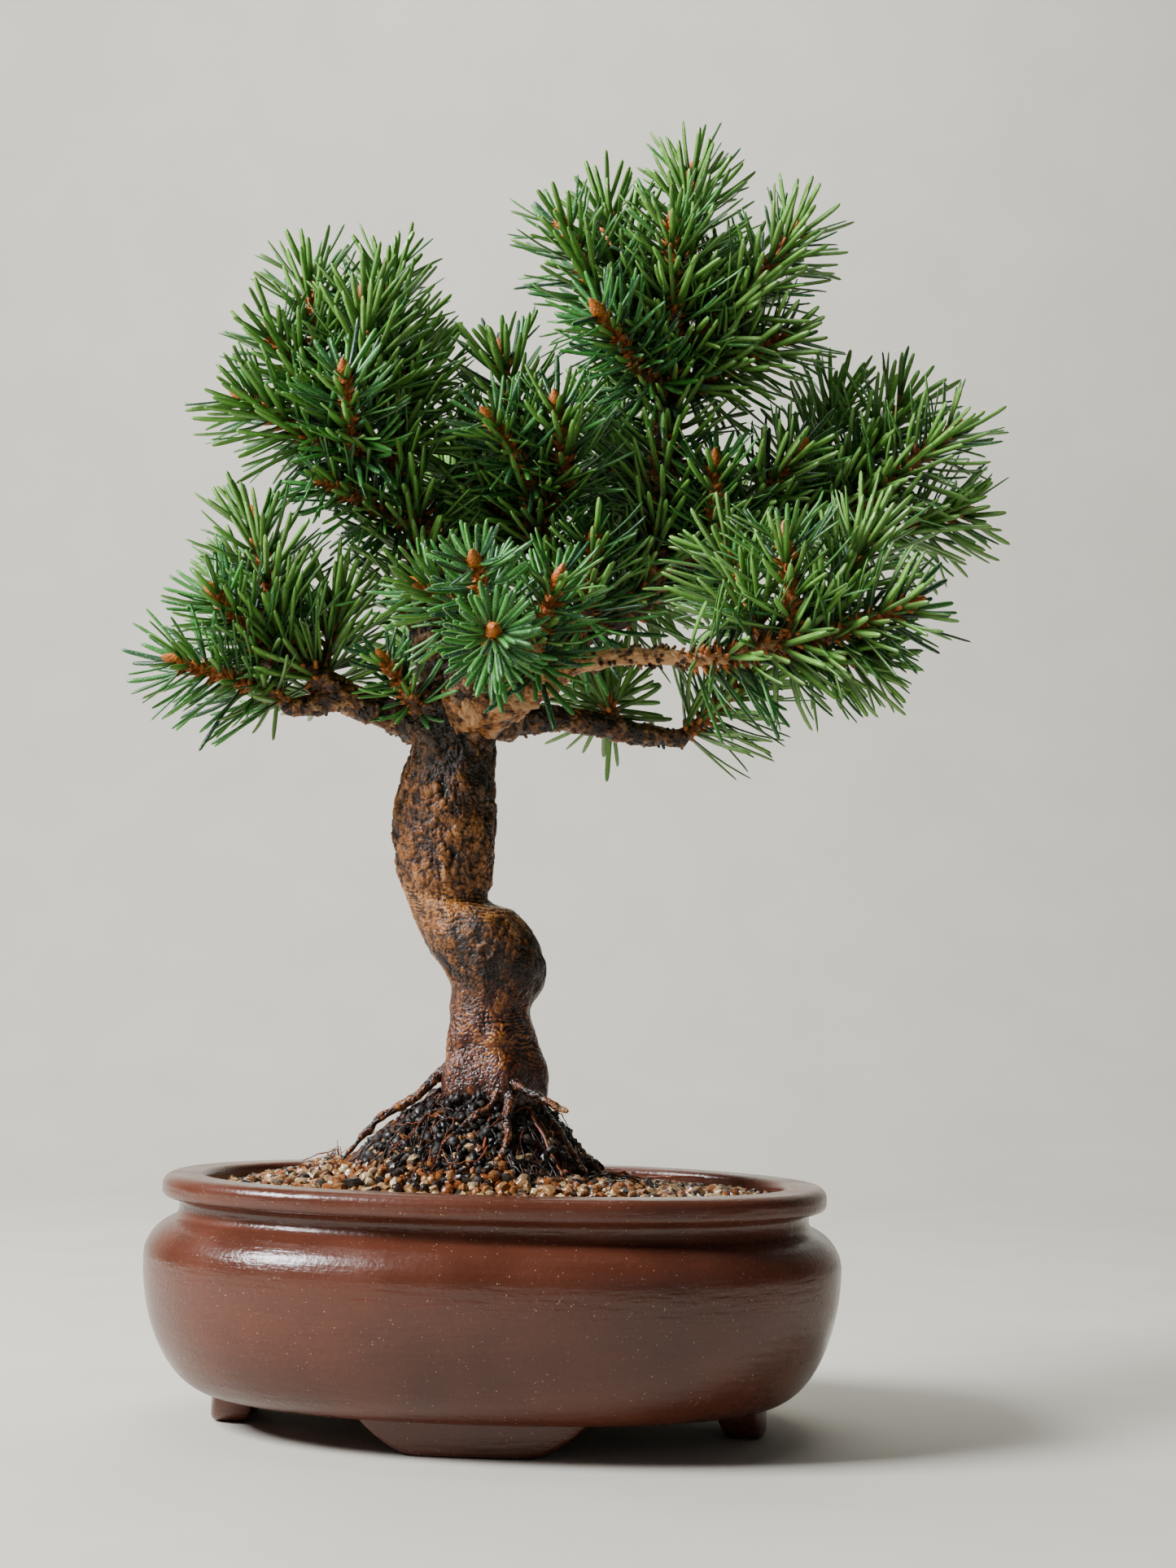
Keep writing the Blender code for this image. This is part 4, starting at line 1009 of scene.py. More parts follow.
class BONSAI_OT_ground(bpy.types.Operator):
    """Build the dark root ball with its crumbs and the gravel that dresses the soil"""

    bl_idname = "bonsai.ground"
    bl_label = "Root ball and gravel"

    def execute(self, context):
        settings = context.scene.bonsai_ground
        peat = peat_material(settings)
        self.build_mound(settings, peat)
        self.build_crumbs(settings, peat)
        self.build_gravel(settings, grit_material(settings))
        return {"FINISHED"}

    def build_mound(self, settings, peat):
        """The root ball: rings from near its summit to its edge, rough by three sizes of noise, over a
        base."""
        turn = circle(220)
        share = np.linspace(0.02, 1.0, 90)[:, None, None]
        xy = MOUND_SUMMIT + share * (mound_outline(turn)[None] - MOUND_SUMMIT)
        z = settings.mound_foot + settings.mound_rise * (1 - share ** FALL_POWER)
        top = np.concatenate([xy, np.broadcast_to(z, (len(share), len(turn), 1))], axis=-1)
        rough = layered_noise(top, 7 * MM, 21, 4) * 1.5 * MM + layered_noise(top, 2.2 * MM, 31, 2) * 0.7 * MM
        top[..., 2] += rough - 0.8 * MM
        foot = top[-1:].copy()
        foot[..., 2] = GROUND_BOTTOM
        grid = np.concatenate([top, foot])[::-1]
        points, faces = closed_tube(grid + POT_CENTRE)
        add_piece("peat_ball", points, faces, peat, slot="soil", replaced=("root_mound",))

    def build_crumbs(self, settings, peat):
        """Loose crumbs and clods of peat all over the root ball, and some spilt on the gravel round it."""
        rng = np.random.default_rng(11)
        count = 2400
        turn = rng.uniform(0, 2 * np.pi, count)
        away = rng.uniform(0.1, 1.0, count) ** 0.6 * 0.98
        xy = MOUND_SUMMIT + away[:, None] * (mound_outline(turn) - MOUND_SUMMIT)
        z = ground_height(xy[:, 0], xy[:, 1], settings)[0]
        size = 3.9 * MM * rng.uniform(0.3, 1.0, count) ** 2.5
        shapes, faces = stone_shapes(rng, count, 1.0, 0.1, 0.4, 0.5)
        shapes = shapes * (size * 1.25)[:, None, None]
        centres = np.stack([xy[:, 0], xy[:, 1], z + rng.uniform(-0.6, 0.9, count) * MM], axis=-1) + POT_CENTRE
        points, faces = repeated(shapes + centres[:, None], faces)
        add_piece("peat_crumbs", points, faces, peat, slot="soil")

    def build_gravel(self, settings, grit):
        """Two layers of stones on a hexagonal field between the root ball and the wall, and a few on the
        ball."""
        rng = np.random.default_rng(3)
        parts = []
        for layer, lift in enumerate((-2.4, -0.6)):
            spots = scatter(rng, settings.stone_size * 0.86, 0.9 * MM)
            z, share, oval = ground_height(spots[:, 0], spots[:, 1], settings)
            room = settings.stone_size * 0.55 / (55 * MM)
            stray = rng.uniform(0, 1, len(spots))
            patch = layered_noise(np.column_stack([spots, stray * 0]), 9 * MM, 29, 2) * 0.12
            heaped = (share + patch > 0.68) | ((share + patch > 0.45) & (stray < 0.12))
            kept = (oval < 1 - room) & ((share > 0.97) | ((layer == 1) & heaped))
            spots, z = spots[kept], z[kept]
            count = len(spots)
            shapes, faces = stone_shapes(rng, count, settings.stone_size * 1.14, 0.34, 0.6, 0.2)
            lifts = lift * MM + rng.uniform(-0.5, 0.6, count) * MM
            centres = np.stack([spots[:, 0], spots[:, 1], z + lifts], axis=-1) + POT_CENTRE
            points, faces = repeated(shapes + centres[:, None], faces)
            parts.append((points, faces, {"tone": np.repeat(rng.uniform(0, 1, count), STONE_CORNERS)}))
        points, faces, tones = joined(parts)
        stones = add_piece("gravel_stones", points, faces, grit, tones, slot="grit", replaced=("gravel",))
        stones.data.set_sharp_from_angle(angle=math.radians(50))


# ---------------------------------------------------------------- wood


def shoot_axis(node):
    """Return where a shoot starts and where its bud ends. Its needles' points are met by four triangles and
    its stem's corners by more, so the stem's corners give the line, and the needles give which way it
    grows."""
    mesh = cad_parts[node].data
    places = np.empty(len(mesh.vertices) * 3)
    mesh.vertices.foreach_get("co", places)
    corners = np.empty(len(mesh.loops), np.int64)
    mesh.loops.foreach_get("vertex_index", corners)
    rounded = np.round(places.reshape(-1, 3)[corners] / MM, 2)
    spots, met = np.unique(rounded, axis=0, return_counts=True)
    stem = spots[met > 4]
    middle = stem.mean(axis=0)
    ahead = np.linalg.svd(stem - middle)[2][0]
    if ((spots[met == 4] - middle) @ ahead).sum() < 0:
        ahead = -ahead
    along = (stem - middle) @ ahead
    return (middle + along.min() * ahead) * MM, (middle + along.max() * ahead) * MM


# In millimetres, how far behind a shoot its twig looks for the nearest limb, and how much of it runs straight.
TWIG_REACH, TWIG_STRAIGHT = 14, 6


def twig_route(base, tip):
    """Return the twig that carries a shoot, as rows in millimetres from the pot's centre: from the nearest
    limb, bending into the shoot's own line."""
    base = (base - POT_CENTRE) / MM
    ahead = unit((tip - POT_CENTRE) / MM - base)
    behind = base - TWIG_REACH * ahead
    limbs = [np.asarray(route, float) for route in LIMBS.values()]
    starts = np.concatenate([route[:-1] for route in limbs])
    ends = np.concatenate([route[1:] for route in limbs])
    shares = np.linspace(0, 1, 9)[:, None, None]
    spots = (starts + shares * (ends - starts)).reshape(-1, 4)
    root = spots[np.argmin(np.linalg.norm(spots[:, :3] - behind, axis=1))]
    straight = base - TWIG_STRAIGHT * ahead
    return [(*root[:3], min(3.0, 0.8 * root[3])), (*straight, 2.0), (*(base + 1.5 * ahead), 1.6)]


def bark_relief(points, settings):
    """Return (height, relief) of flaky bark: long upright plates with a random lift each, parted by thin
    warped cracks, under two sizes of noise drawn out upwards."""
    warp = np.stack([layered_noise(points, 5 * MM, 41 + axis, 3) for axis in range(3)], axis=-1) * 1.6 * MM
    gap, tone = cell_pattern((points + warp) * (1.0, 1.0, 0.5), settings.scale_width, 7)
    crack = np.clip(gap / 0.16, 0, 1) ** 0.6
    fibre = layered_noise(points * (1.0, 1.0, 0.35), 1.5 * MM, 51, 3)
    lump = layered_noise(points * (1.0, 1.0, 0.6), 3.2 * MM, 57, 2)
    height = (crack - 0.8) * settings.scale_depth + (tone - 0.5) * 0.5 * MM
    height = height + fibre * 0.34 * MM + lump * 0.55 * MM
    return height, 0.42 * crack + 0.26 * tone + 0.2 * fibre + 0.14 * lump


def limb_surface(route, columns, settings, age, pale_from=999.0, step=0.6):
    """Return one limb's points, faces and attributes: a tube that flares into the wood it grows from, ringed
    by old bud scars every few millimetres. Beyond pale_from millimetres it is young wood, pale and
    slimmer."""
    curve = smooth_route(route, step * MM)
    way = np.arange(len(curve)) * step
    curve[:, 3] *= 1 + 0.1 * np.exp(-way * MM / (1.6 * curve[0, 3]))
    curve[:, 3] *= 1 - 0.28 * np.clip((way - pale_from) / 6 + 1, 0, 1)
    curve[-3:, 3] *= np.array([0.9, 0.7, 0.35])
    grid, outward = tube_grid(curve, columns)
    height, relief = bark_relief(grid, settings)
    slender = np.clip(curve[:, 3] / (5 * MM), 0.3, 1)[:, None]
    lumps = layered_noise(grid, 4.5 * MM, 61, 2) * 0.7 * MM
    sway = layered_noise(grid, 6 * MM, 65, 2) * 2.2
    rings = np.mod((way[:, None] + sway) / 7.5, 1) ** 6 * 0.6
    rings = (rings + layered_noise(grid, 1.5 * MM, 63, 2) * 0.55) * MM
    grid = grid + outward * ((height * 0.8 + lumps + rings) * slender)[..., None]
    points, faces = closed_tube(grid)
    bare = np.clip(0.55 + 0.5 * lumps / MM + 1.3 * rings / MM, 0, 1)
    pale = np.clip((way - pale_from) / 8, 0, 1)[:, None] * bare
    old = np.clip(age + layered_noise(grid, 9 * MM, 67, 2) * 0.25, 0, 1)
    relief = relief + rings / MM * 0.7 + 0.22 * (1 - age)
    attributes = {"relief": relief, "pale": pale, "age": old, "wet": old * 0}
    return points, faces, with_ends(attributes, 0.4)


def stub_shapes(rng, route, count, longest):
    """Return short broken stubs standing out of a limb, at random places round and along it."""
    curve = smooth_route(route, 0.5 * MM)
    pick = rng.integers(4, len(curve) - 4, count)
    ahead, side, other = frames_along(curve[:, :3])
    turn = rng.uniform(0, 2 * np.pi, count)[:, None]
    outward = np.cos(turn) * side[pick] + np.sin(turn) * other[pick]
    heading = unit(outward + 0.5 * ahead[pick])
    starts = curve[pick, :3] + outward * curve[pick, 3:] * 0.85
    points, faces, attributes = sheath_shapes(rng, starts, heading, 0.55 * MM, longest)
    tone = attributes["relief"]
    return points, faces, {"relief": tone, "pale": tone * 0, "age": tone * 0 + 0.7, "wet": tone * 0}


def seen_from(level, right, towards):
    """Return a spot, in millimetres from the pot's centre, given how far it lies right of the centre and
    towards the viewer, who stands a little round to the right of the front."""
    turn = bpy.context.scene.bonsai_stage.camera_turn - bpy.context.scene.bonsai_stage.aim_right
    across = np.array((math.cos(turn), math.sin(turn), 0.0))
    return right * across + towards * np.array((math.sin(turn), -math.cos(turn), 0.0)) + (0, 0, level)


class BONSAI_OT_trunk(bpy.types.Operator):
    """Build the trunk with its knee, scars, skin folds and flaky bark"""

    bl_idname = "bonsai.trunk"
    bl_label = "Trunk"

    def execute(self, context):
        settings = context.scene.bonsai_wood
        curve = smooth_route(TRUNK, 0.42 * MM)
        turn = circle(220)
        outward = np.stack([np.cos(turn), np.sin(turn), turn * 0], axis=-1)[None]
        outward = outward + np.zeros((len(curve), 1, 1))
        grid = curve[:, None, :3] + curve[:, None, 3:] * outward
        local = (grid - POT_CENTRE) / MM
        high = local[..., 2]
        lumps = layered_noise(grid, 11 * MM, 71, 3) * settings.lump_height
        flutes = np.cos(5 * turn + 1.2 + 0.05 * high) * np.clip((118 - high) / 16, 0, 1) * 1.1 * MM
        sway = layered_noise(grid, 8 * MM, 81, 3) * 2.2 * MM
        fold = 1 - abs(np.sin(np.pi * (high * MM + sway) / settings.fold_spacing))
        bend = np.exp(-(abs(high - 149) / 9) ** 3) + np.exp(-(abs(high - 112) / 11) ** 4)
        ribs = self.ribs(local, settings)
        uneven = np.clip(0.7 + 1.1 * layered_noise(grid, 6 * MM, 85, 2), 0.1, 1.3)
        folds = fold ** 1.5 * np.clip(bend - ribs[1], 0, 1) * uneven
        height, relief = bark_relief(grid, settings)
        flaky = np.clip((high - 146) / 10, 0.5, 1) * np.clip((high - 108) / 14, 0.4, 1)
        scars, scar_tone = self.scars(local)
        crown = np.clip((high - 214) / 5, 0, 1)
        total = lumps + flutes + ribs[0] - folds * settings.fold_depth + height * flaky + scars * MM
        grid = grid + outward * (total * (1 - crown))[..., None]
        # The skin folds lower the relief, which paints their creases darker: painted shade on top of the folds'
        # real depth.
        relief = relief * (0.5 + 0.5 * flaky) + 0.22 * (1 - flaky) + 0.3 * np.clip(bend, 0, 1) - 0.8 * folds
        relief = relief + scar_tone + ribs[0] / MM * 0.25
        # Painted shade: lean raises the age, and so darkens the bark, towards the trunk's right side, away from
        # the key light; part of it is older scaly bark.
        lean = (local[..., 0] + 12) * 0.02
        mottle = layered_noise(grid, 3.5 * MM, 89, 3) * 0.9 * np.clip((158 - high) / 10, 0, 1)
        age = np.clip((high - 170) / 24, 0, 1) + np.exp(-((high - 129) / 9) ** 2) * 0.4
        age = age + lean * 1.5 + 0.16 + mottle
        wet = np.clip((127 - high) / 9, 0, 1) ** 0.7
        attributes = {"relief": relief, "age": np.clip(age, 0, 1), "wet": wet, "pale": wet * 0}
        attributes = with_ends(attributes, 0.3)
        points, faces = closed_tube(grid)
        bark = shared_bark(settings)
        add_piece("trunk", points, faces, bark, attributes, slot="bark", replaced=("trunk_and_branches",))
        return {"FINISHED"}

    def ribs(self, local, settings):
        """Return the height and reach of the upright ribs that fan out over the top of the knee."""
        middle = seen_from(141, 4, 8)
        reach = np.exp(-(np.linalg.norm((local - middle) / (9, 11, 8), axis=-1)) ** 4)
        fan = np.arctan2(local[..., 1] - middle[1], local[..., 0] - middle[0])
        wave = 1 - abs(np.sin(fan * 13 + layered_noise(local, 6.0, 87, 2)))
        return reach * (0.5 - wave) * settings.fold_depth * 1.4, reach

    def scars(self, local):
        """Return the height and tone of the round scars of lost twigs: a raised ring round a sunk middle, and
        a broken stub on top of the knee."""
        height = np.zeros(local.shape[:-1])
        tone = height.copy()
        spots = (
            (135, -4, 16, 2.0, 0.6), (179, -24, 12, 3.0, 0.9),
            (163, -4, 15, 2.2, 0.6), (196, -8, 12, 2.4, 0.8),
        )
        for level, right, towards, radius, rise in spots:
            away = np.linalg.norm(local - seen_from(level, right, towards), axis=-1) / radius
            ring = np.exp(-((away - 1.15) / 0.3) ** 2)
            height += rise * ring - 0.6 * rise * np.exp(-(away / 0.8) ** 2)
            tone += 0.2 * ring + 0.12 * np.exp(-(away / 0.8) ** 2)
        stub = np.linalg.norm((local - seen_from(146.5, 0.5, 6)) / (2.4, 5, 2.2), axis=-1)
        return height + 2.2 * np.exp(-stub ** 2), tone


class BONSAI_OT_limbs(bpy.types.Operator):
    """Build the limbs and the twigs that carry the shoots"""

    bl_idname = "bonsai.limbs"
    bl_label = "Limbs and twigs"

    def execute(self, context):
        settings = context.scene.bonsai_wood
        bark = shared_bark(settings)
        rng = np.random.default_rng(23)
        limbs = []
        for name, route in LIMBS.items():
            pale = name == "right_branch"
            limbs.append(limb_surface(route, 64, settings, 0.0 if pale else 0.75, 36.0 if pale else 999.0))
            limbs.append(stub_shapes(rng, route, 110 if pale else 46, 1.2 * MM))
        points, faces, attributes = joined(limbs)
        add_piece("limbs", points, faces, bark, attributes, slot="bark", replaced=("trunk_and_branches",))
        twigs = [
            limb_surface(twig_route(*shoot_axis(node)), 18, settings, 0.45, step=0.8) for node in SHOOT_NODES
        ]
        points, faces, attributes = joined(twigs)
        add_piece("twigs", points, faces, bark, attributes, slot="bark", replaced=("trunk_and_branches",))
        return {"FINISHED"}


class BONSAI_OT_roots(bpy.types.Operator):
    """Build the bare roots over the root ball and the hair roots between them"""

    bl_idname = "bonsai.roots"
    bl_label = "Roots"

    def execute(self, context):
        wood = context.scene.bonsai_wood
        parts = []
        for index, route in enumerate(ROOTS):
            step = 0.4
            curve = smooth_route(route, step * MM)
            way = np.arange(len(curve)) * step
            curve[:, 3] *= 0.54 + 0.5 * np.exp(-way / 4)
            curve[:, 3] *= 1 + 0.24 * value_noise(curve[:, :3] / (3.2 * MM), 90 + index)
            wander = np.stack([layered_noise(curve[:, :3], 9 * MM, 97 + axis) for axis in range(3)], axis=-1)
            curve[:, :3] += wander * 0.9 * MM * np.clip(way / 15, 0, 1)[:, None]
            curve[-4:, 3] *= np.array([0.95, 0.85, 0.6, 0.25])
            grid, outward = tube_grid(curve, 36)
            rough = layered_noise(grid, 1.8 * MM, 95, 3)
            fold = (1 - abs(np.sin(np.pi * way / 1.1)))[:, None] * np.clip(1 - way / 22, 0, 1)[:, None]
            grid = grid + outward * ((rough * 0.3 - fold * 0.25) * MM)[..., None]
            points, faces = closed_tube(grid)
            # The folds lower the relief, which paints the root's creases darker: painted shade.
            relief = 0.5 + 0.4 * rough - 0.3 * fold
            pale = np.clip((way - way[-1] + 4) / 3, 0, 1)[:, None] * (0.8 if index < 2 else 0.2)
            old = np.full_like(rough, 0.2)
            pale = pale + 0 * rough
            attributes = {"relief": relief, "wet": 0.8 - pale, "pale": pale, "age": old}
            parts.append((points, faces, with_ends(attributes, 0.5)))
        points, faces, attributes = joined(parts)
        bark = shared_bark(wood)
        add_piece("bare_roots", points, faces, bark, attributes, slot="bark", replaced=("trunk_and_branches",))
        hair = papery_material("hair_root", wood.hair, wood.rust, 0.42)
        rng = np.random.default_rng(17)
        runners = (("hair_roots", 260, 0.1, 0.3, 1.5), ("young_roots", 42, 0.3, 0.7, 2.1))
        for name, count, thin, thick, reach in runners:
            sizes = (thin * MM, thick * MM, reach * MM)
            self.build_runners(context.scene.bonsai_ground, rng, name, count, *sizes, hair)
        return {"FINISHED"}

    def build_runners(self, ground, rng, name, count, thin, thick, reach, skin):
        """Thin wandering roots that start high on the root ball and run down over it. Each heading turns by a
        running sum of small random turns, and the height follows the ground."""
        steps, sides = 20, 6
        start = rng.uniform(0, 2 * np.pi, count)
        away = rng.uniform(0.25, 0.75, count)[:, None]
        first = MOUND_SUMMIT + away * (mound_outline(start) - MOUND_SUMMIT)
        turning = np.cumsum(rng.normal(0, 0.3, (count, steps)), axis=1)
        heading = start[:, None] + rng.uniform(-1.1, 1.1, (count, 1)) + turning
        stride = rng.uniform(0.4, 1.0, (count, 1)) * reach
        paces = stride[..., None] * np.stack([np.cos(heading), np.sin(heading)], -1)
        xy = first[:, None] + np.cumsum(paces, axis=1)
        z = ground_height(xy[..., 0], xy[..., 1], ground)[0]
        rise = 1.0 * MM + np.cumsum(rng.normal(0.0, 0.35, (count, steps)), axis=1) * MM
        z = z + np.maximum(rise, -0.2 * MM)
        route = np.concatenate([xy, z[..., None]], axis=-1) + POT_CENTRE
        ahead = unit(np.gradient(route, axis=1))
        side = unit(np.cross(ahead, (0.2, 0.3, 0.93)))
        other = np.cross(ahead, side)
        width = rng.uniform(thin, thick, (count, 1)) * np.linspace(1, 0.35, steps)
        width = width * (1 + 0.25 * rng.uniform(-1, 1, width.shape))
        turn = np.arange(sides) / sides * 2 * np.pi
        ring = np.cos(turn)[:, None] * side[:, :, None] + np.sin(turn)[:, None] * other[:, :, None]
        grid = route[:, :, None] + width[..., None, None] * ring
        points, faces = repeated(grid.reshape(count, -1, 3), [grid_quads(steps, sides)])
        caps = np.stack([np.arange(sides)[::-1], np.arange(sides) + (steps - 1) * sides])
        caps = (caps[None] + (np.arange(count) * steps * sides)[:, None, None]).reshape(-1, sides)
        tones = np.repeat(rng.uniform(0.0, 1.0, count) ** 2, steps * sides)
        add_piece(name, points, [*faces, caps], skin, {"relief": tones}, slot="bark")


# ---------------------------------------------------------------- foliage


# In millimetres, how far apart the rows of a curve that carries needles are.
STEM_STEP = 0.5


def needle_shapes(rng, starts, headings, inward, lengths, width):
    """Return (needles, corners, 3) points, faces and attributes of needles. Each is a half-round blade of
    four corners by six rows and a point: its middle line runs along the heading and curves inward with the
    square of the way, and its width grows from 0.7 to 1 and then falls to the point."""
    rows = np.array([0.0, 0.12, 0.34, 0.6, 0.84, 0.96])
    wide = np.array([0.7, 0.92, 1.0, 1.0, 0.95, 0.68])
    count = len(starts)
    bend = rng.uniform(-0.06, 0.26, (count, 1, 1))
    way = rows[None, :, None]
    heading = headings[:, None]
    middle = starts[:, None] + lengths[:, None, None] * (way * heading + bend * way ** 2 * inward[:, None])
    tip = starts + lengths[:, None] * (headings + bend[:, 0] * inward)
    flat = unit(np.cross(headings, inward) + rng.normal(0, 0.25, (count, 3)))
    flat = unit(flat - (flat * headings).sum(-1, keepdims=True) * headings)
    back = np.cross(headings, flat)
    section = np.array([(-1.0, 0.0), (-0.45, 0.62), (0.45, 0.62), (1.0, 0.0)]) * width / 2
    twist = rng.uniform(-0.5, 0.5, (count, 1)) * rows
    cosine, sine = np.cos(twist)[..., None, None], np.sin(twist)[..., None, None]
    across = flat[:, None, None] * cosine + back[:, None, None] * sine
    outward = back[:, None, None] * cosine - flat[:, None, None] * sine
    grid = middle[:, :, None] + wide[None, :, None, None] * (
        section[:, 0][:, None] * across - section[:, 1][:, None] * outward
    )
    points = np.concatenate([grid.reshape(count, -1, 3), tip[:, None]], axis=1)
    corners = points.shape[1]
    quads = grid_quads(len(rows), len(section))[:, ::-1]
    last = corners - 1 - len(section) + np.arange(len(section))
    fan = np.stack([np.roll(last, -1), last, np.full(len(section), corners - 1)], axis=-1)
    foot = np.arange(len(section))[None]
    tone = np.broadcast_to(rng.uniform(0, 1, (count, 1)), (count, corners))
    along = np.broadcast_to(np.append(np.repeat(rows, len(section)), 1.0), (count, corners))
    edge = np.broadcast_to(np.append(np.tile([1.0, 0.0, 0.0, 1.0], len(rows)), 1.0), (count, corners))
    points, faces = repeated(points, [np.concatenate([quads, foot]), fan])
    return points, faces, {"tone": tone, "along": along, "edge": edge}


def bud_surface(tip, ahead, length, radius):
    """Return a bud: an egg whose radius rises quickly and ends in a point, with overlapping scales. A scale's
    height is the smaller of its places along two spirals, five one way and eight the other."""
    rows, columns = 26, 30
    v = np.linspace(0.02, 0.985, rows)[:, None]
    turn = circle(columns)[None]
    egg = np.sin(np.pi * v ** 0.75) ** 0.7 * (1 - 0.25 * v)
    one = np.mod(5 * turn / (2 * np.pi) + 5.5 * v, 1)
    two = np.mod(-8 * turn / (2 * np.pi) + 5.5 * v, 1)
    scale = np.minimum(one, two)
    reach = radius * (egg + 0.16 * (scale - 0.4))
    side = unit(np.cross(ahead, STEADY))
    other = np.cross(ahead, side)
    outward = np.cos(turn)[..., None] * side + np.sin(turn)[..., None] * other
    grid = tip + (v[..., None] - 1) * length * ahead + reach[..., None] * outward
    points, faces = closed_tube(grid)
    return points, faces, {"relief": np.append(0.1 + 0.75 * scale.ravel(), [0.2, 0.9])}


def stem_surface(curve):
    """Return a shoot's stem: a tapered tube along the curve, knobbed by the bases of its bundles on
    spirals."""
    grid, outward = tube_grid(curve, 16)
    way = np.arange(len(curve))[:, None] * STEM_STEP
    turn = circle(16)[None]
    knob = np.sin(3 * turn + 1.9 * way) * np.sin(5 * turn - 1.9 * way)
    points, faces = closed_tube(grid + outward * (knob * 0.28 * MM)[..., None])
    return points, faces, with_ends({"relief": 0.35 + 0.3 * knob}, 0.3)


def sheath_shapes(rng, starts, headings, radius, length):
    """Return the papery sheaths of the bundles: five-sided sleeves of two rows that narrow to a point."""
    count = len(starts)
    side = unit(np.cross(headings, STEADY))
    other = np.cross(headings, side)
    turn = np.arange(5) / 5 * 2 * np.pi
    ring = np.cos(turn)[:, None] * side[:, None] + np.sin(turn)[:, None] * other[:, None]
    far = length * rng.uniform(0.7, 1.3, (count, 1))
    low = starts[:, None] - 0.4 * MM * headings[:, None] + radius * 1.25 * ring
    top = starts[:, None] + far[:, None] * headings[:, None] + radius * 0.85 * ring
    tip = starts[:, None] + 1.25 * far[:, None] * headings[:, None]
    points = np.concatenate([low, top, tip], axis=1)
    first = np.arange(5)
    after = (first + 1) % 5
    sides = np.stack([first, after, after + 5, first + 5], axis=-1)
    fan = np.stack([first + 5, after + 5, np.full(5, points.shape[1] - 1)], axis=-1)
    foot = first[::-1][None]
    tone = np.broadcast_to(rng.uniform(0.2, 0.8, (count, 1)), points.shape[:2])
    points, faces = repeated(points, [sides, fan, foot])
    return points, faces, {"relief": tone}


def needles_on(rng, curve, settings, sparser, size, old=False):
    """Return the needles and the sheaths of the bundles along a curve. Bundles stand a golden turn apart,
    leaning closer to the stem the nearer they are to its end, unless they are old ones, which lean at
    random."""
    along, side, other = frames_along(curve[:, :3])
    count = int(len(curve) * STEM_STEP * MM / (settings.pair_spacing * sparser))
    share = (np.arange(count) + 0.5) / count
    spot = np.clip((share * len(curve)).astype(int), 0, len(curve) - 1)
    along, side, other = along[spot], side[spot], other[spot]
    turn = (np.arange(count) * GOLDEN_TURN + rng.uniform(-0.25, 0.25, count))[:, None]
    outward = np.cos(turn) * side + np.sin(turn) * other
    round_stem = np.cos(turn) * other - np.sin(turn) * side
    young = rng.uniform(0, 0.4, count) if old else share ** 1.4
    lean = settings.widest_lean + (settings.closest_lean - settings.widest_lean) * young
    lean = (lean + rng.normal(0, 0.13, count))[:, None]
    heading = unit(np.cos(lean) * along + np.sin(lean) * outward)
    starts = curve[spot, :3] + curve[spot, 3:] * 0.9 * outward
    spread = rng.uniform(0.08, 0.2, (count, 1))
    pairs = np.concatenate([unit(heading + spread * round_stem), unit(heading - spread * round_stem)])
    both = np.concatenate([starts, starts]) + 0.9 * MM * pairs
    inward = unit(np.concatenate([along - 0.5 * outward] * 2))
    lengths = settings.needle_length * size * rng.normal(1.0, 0.09, 2 * count)
    lengths *= 1 - 0.34 * np.concatenate([young, young]) ** 2
    needles = needle_shapes(rng, both, pairs, inward, lengths, settings.needle_width)
    return needles, sheath_shapes(rng, starts, heading, 0.78 * MM, 2.3 * MM)


